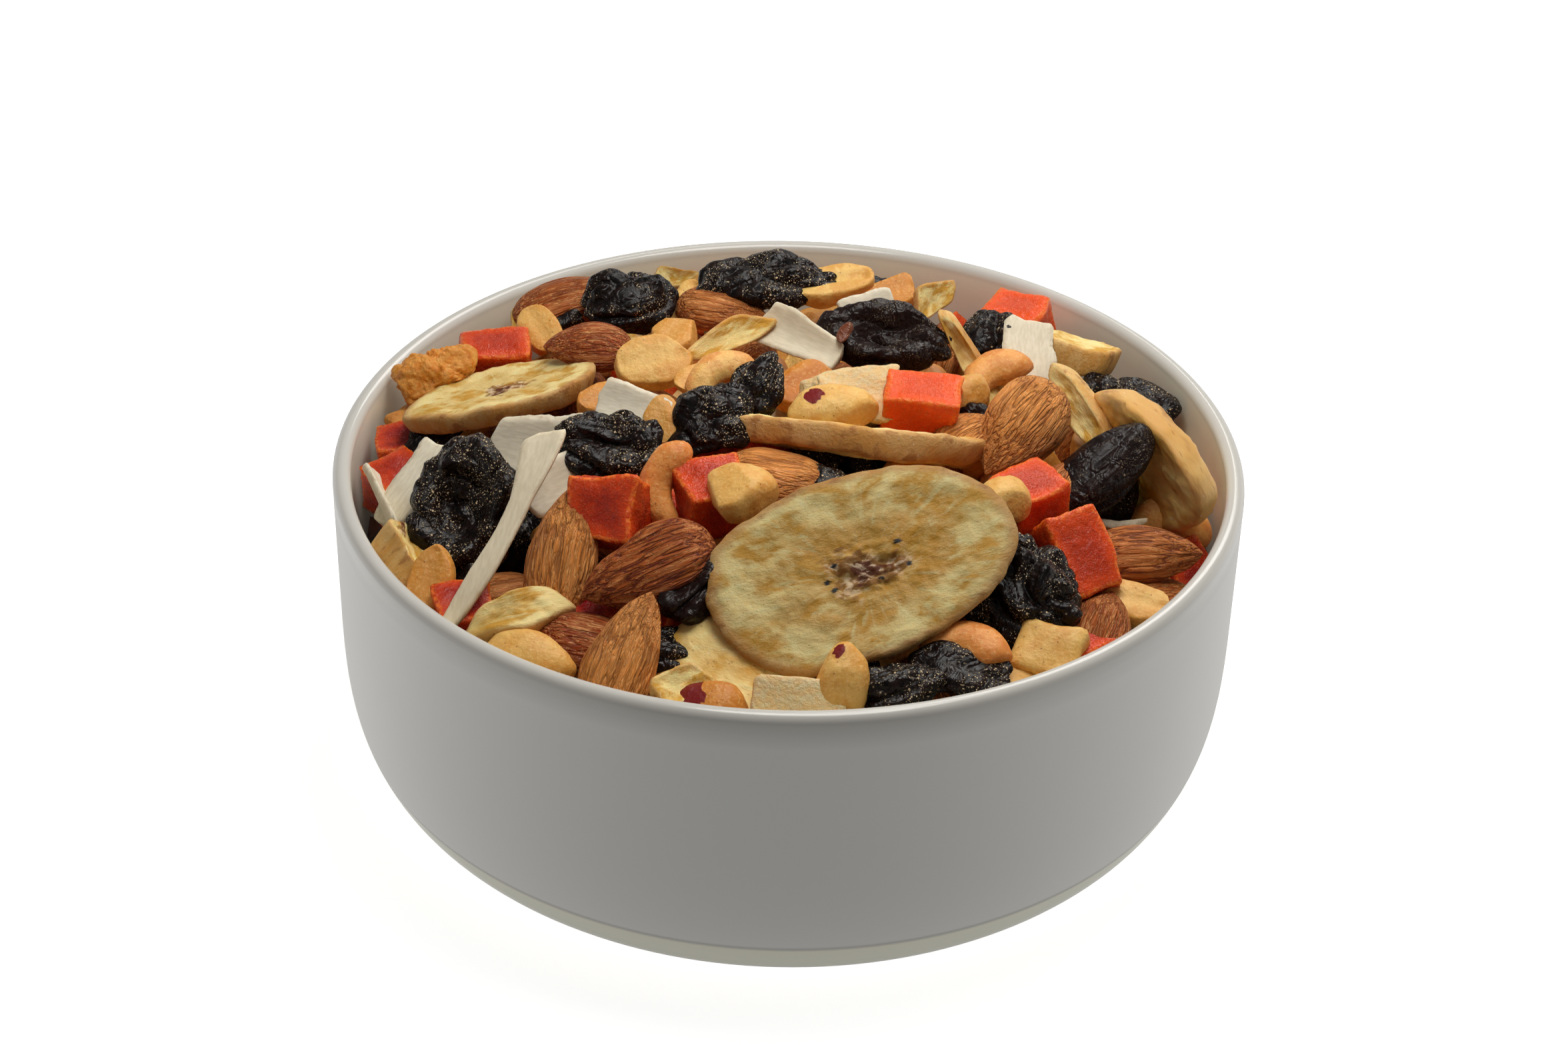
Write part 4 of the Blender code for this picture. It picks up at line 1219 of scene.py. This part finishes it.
def scatterTree():
    # Variants set on points by their pick, turn and size, joined with the placed pieces.
    tree = bpy.data.node_groups.new("settlePieces", "GeometryNodeTree")
    for label, kind in (("Points", "Geometry"), ("Variants", "Collection"),
                        ("Placed", "Object"), ("Finish", "Material")):
        tree.interface.new_socket(label, in_out="INPUT", socket_type="NodeSocket" + kind)
    tree.interface.new_socket("Pieces", in_out="OUTPUT", socket_type="NodeSocketGeometry")
    nodes = Nodes(tree)
    start = nodes.add("NodeGroupInput").outputs
    variants = nodes.add("GeometryNodeCollectionInfo", {
        "Collection": start["Variants"], "Separate Children": True, "Reset Children": True})
    placed = nodes.add("GeometryNodeObjectInfo", {"Object": start["Placed"]})
    fields = {}
    for label, kind in (("pick", "INT"), ("turn", "FLOAT_VECTOR"), ("size", "FLOAT_VECTOR")):
        field = nodes.add("GeometryNodeInputNamedAttribute", {"Name": label}, data_type=kind)
        fields[label] = field.outputs["Attribute"]
    settled = nodes.add("GeometryNodeInstanceOnPoints", {
        "Points": start["Points"], "Instance": variants.outputs[0], "Pick Instance": True,
        "Instance Index": fields["pick"], "Rotation": fields["turn"],
        "Scale": fields["size"]})
    real = nodes.add("GeometryNodeRealizeInstances", {"Geometry": settled.outputs[0]})
    join = nodes.add("GeometryNodeJoinGeometry")
    tree.links.new(real.outputs[0], join.inputs[0])
    tree.links.new(placed.outputs["Geometry"], join.inputs[0])
    finished = nodes.add("GeometryNodeSetMaterial", {"Geometry": join.outputs[0],
                                                     "Material": start["Finish"]})
    nodes.add("NodeGroupOutput", {0: finished.outputs[0]})
    return tree


def pointCloud(name, rows):
    mesh = bpy.data.meshes.new(name)
    mesh.from_pydata([tuple(value * mm for value in row[0]) for row in rows], [], [])
    for label, kind, field, values in (
            ("turn", "FLOAT_VECTOR", "vector", [row[1] for row in rows]),
            ("size", "FLOAT_VECTOR", "vector", [row[2] for row in rows]),
            ("pick", "INT", "value", [row[3] for row in rows]),
            ("tone", "FLOAT", "value", [row[4] for row in rows])):
        layer = mesh.attributes.new(label, kind, "POINT")
        layer.data.foreach_set(field, np.array(values).ravel())
    return newObject(name, mesh)


def setInputs(modifier, values):
    for item in modifier.node_group.interface.items_tree:
        if item.in_out == "INPUT" and item.name in values:
            modifier[item.identifier] = values[item.name]


def madeReal(made):
    bpy.context.view_layer.update()
    result = made.evaluated_get(bpy.context.evaluated_depsgraph_get())
    mesh = bpy.data.meshes.new_from_object(result)
    made.modifiers.clear()
    made.data = mesh
    made.data.shade_smooth()


def declare(made):
    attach(made, "root")
    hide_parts("trail_mix")


def thickness(kind, width):
    return kind["thick"] if "thick" in kind else kind["thickShare"] * width


def makeKind(name, kind, extra, tree, draw):
    shapes, tones = [], []
    for number, row in enumerate(kind["rows"]):
        length, width = row[6:8]
        style = dict(kind["styles"].get(number, {}))
        build = style.pop("shape", kind["shape"])
        thick = style.pop("thick", thickness(kind, width))
        made = build(length, width, thick, number + 1, **style)
        shapes.append(placeRow(made, row))
        tones.append(kind["tones"].get(number, draw.uniform(*filler["tones"])))
    placed = newObject(name + "Placed", meshOf(name + "Placed", shapes, tones))
    shelf = bpy.data.collections.new(name + "Variants")
    for number, (length, width) in enumerate(kind["variants"]):
        made = kind["shape"](length, width, thickness(kind, width),
                             filler["shapeSeed"] + number, **kind["coarse"])
        mesh = meshOf(f"{name}_{number}", [made], [0.0])
        mesh.attributes.remove(mesh.attributes["tone"])
        newObject(f"{name}_{number}", mesh, shelf)
    piece = pointCloud(name, extra)
    settle = piece.modifiers.new("settle", "NODES")
    settle.node_group = tree
    setInputs(settle, {"Variants": shelf, "Placed": placed, "Finish": kind["material"]()})
    madeReal(piece)
    for helper in [placed, *shelf.objects]:
        bpy.data.objects.remove(helper, do_unlink=True)
    bpy.data.collections.remove(shelf)
    declare(piece)
    print(name, len(piece.data.polygons), "faces")


# Bare heap under the pieces, dark all over as painted shade in the gaps

heapPaintedShade = {"deep": (40, 22, 14), "crumb": (78, 46, 26), "fixed": {"Roughness": 0.7}}
core = {"drop": 15.0, "rings": 44, "around": 120, "gap": 0.6, "cornerSteps": 8,
        "bumps": 2.4, "bumpsOver": 2.0}


def paintedShadeMaterial():
    # Painted shade: a dark brown with paler crumbs, shown in the gaps between the pieces.
    paint = Paint("heapPaintedShade", heapPaintedShade)
    crumbs = paint.patches(paint.coordinates(), 160.0, 0.4, 0.65, 3.0)
    paint.start(crumbs, "deep", "crumb")
    paint.set(Base_Color=paint.colour)
    return paint.material


def makeCore():
    gap, middle = core["gap"], bowl["middle"]
    radius = np.linspace(middle, bowl["rimRadius"] - bowl["wall"] - gap, core["rings"])
    level = heapLevel(radius, 0.0) - core["drop"]
    side = roundedCorner(bowl["bellyRadius"] - bowl["wall"] - gap, bowl["floorRadius"] - gap,
                         bowl["cornerHeight"], bowl["floorTop"] + gap, core["cornerSteps"])
    points, quads, tris = turned(np.concatenate([
        np.stack([radius, level], -1), side, [(middle, bowl["floorTop"] + gap)]]),
        core["around"])
    top = points[:, 2] > bowl["cornerHeight"] + core["bumpsOver"]
    lumps = np.abs(noiseAt(points, 0.14, 3.0)) * 2.2 + 0.4 * noiseAt(points, 0.4, 5.0)
    points[:, 2] += top * core["bumps"] * lumps
    made = newObject("heapCore", meshOf("heapCore", [shape(points, quads, tris)], [0.5]))
    made.data.materials.append(paintedShadeMaterial())
    declare(made)


makeCore()
settleTree = scatterTree()
extraRows = scatterRows()
toneDraw = np.random.default_rng(filler["toneSeed"])
for kindName, kindSettings in kinds.items():
    makeKind(kindName, kindSettings, extraRows.get(kindName, []), settleTree, toneDraw)
print("trail mix")
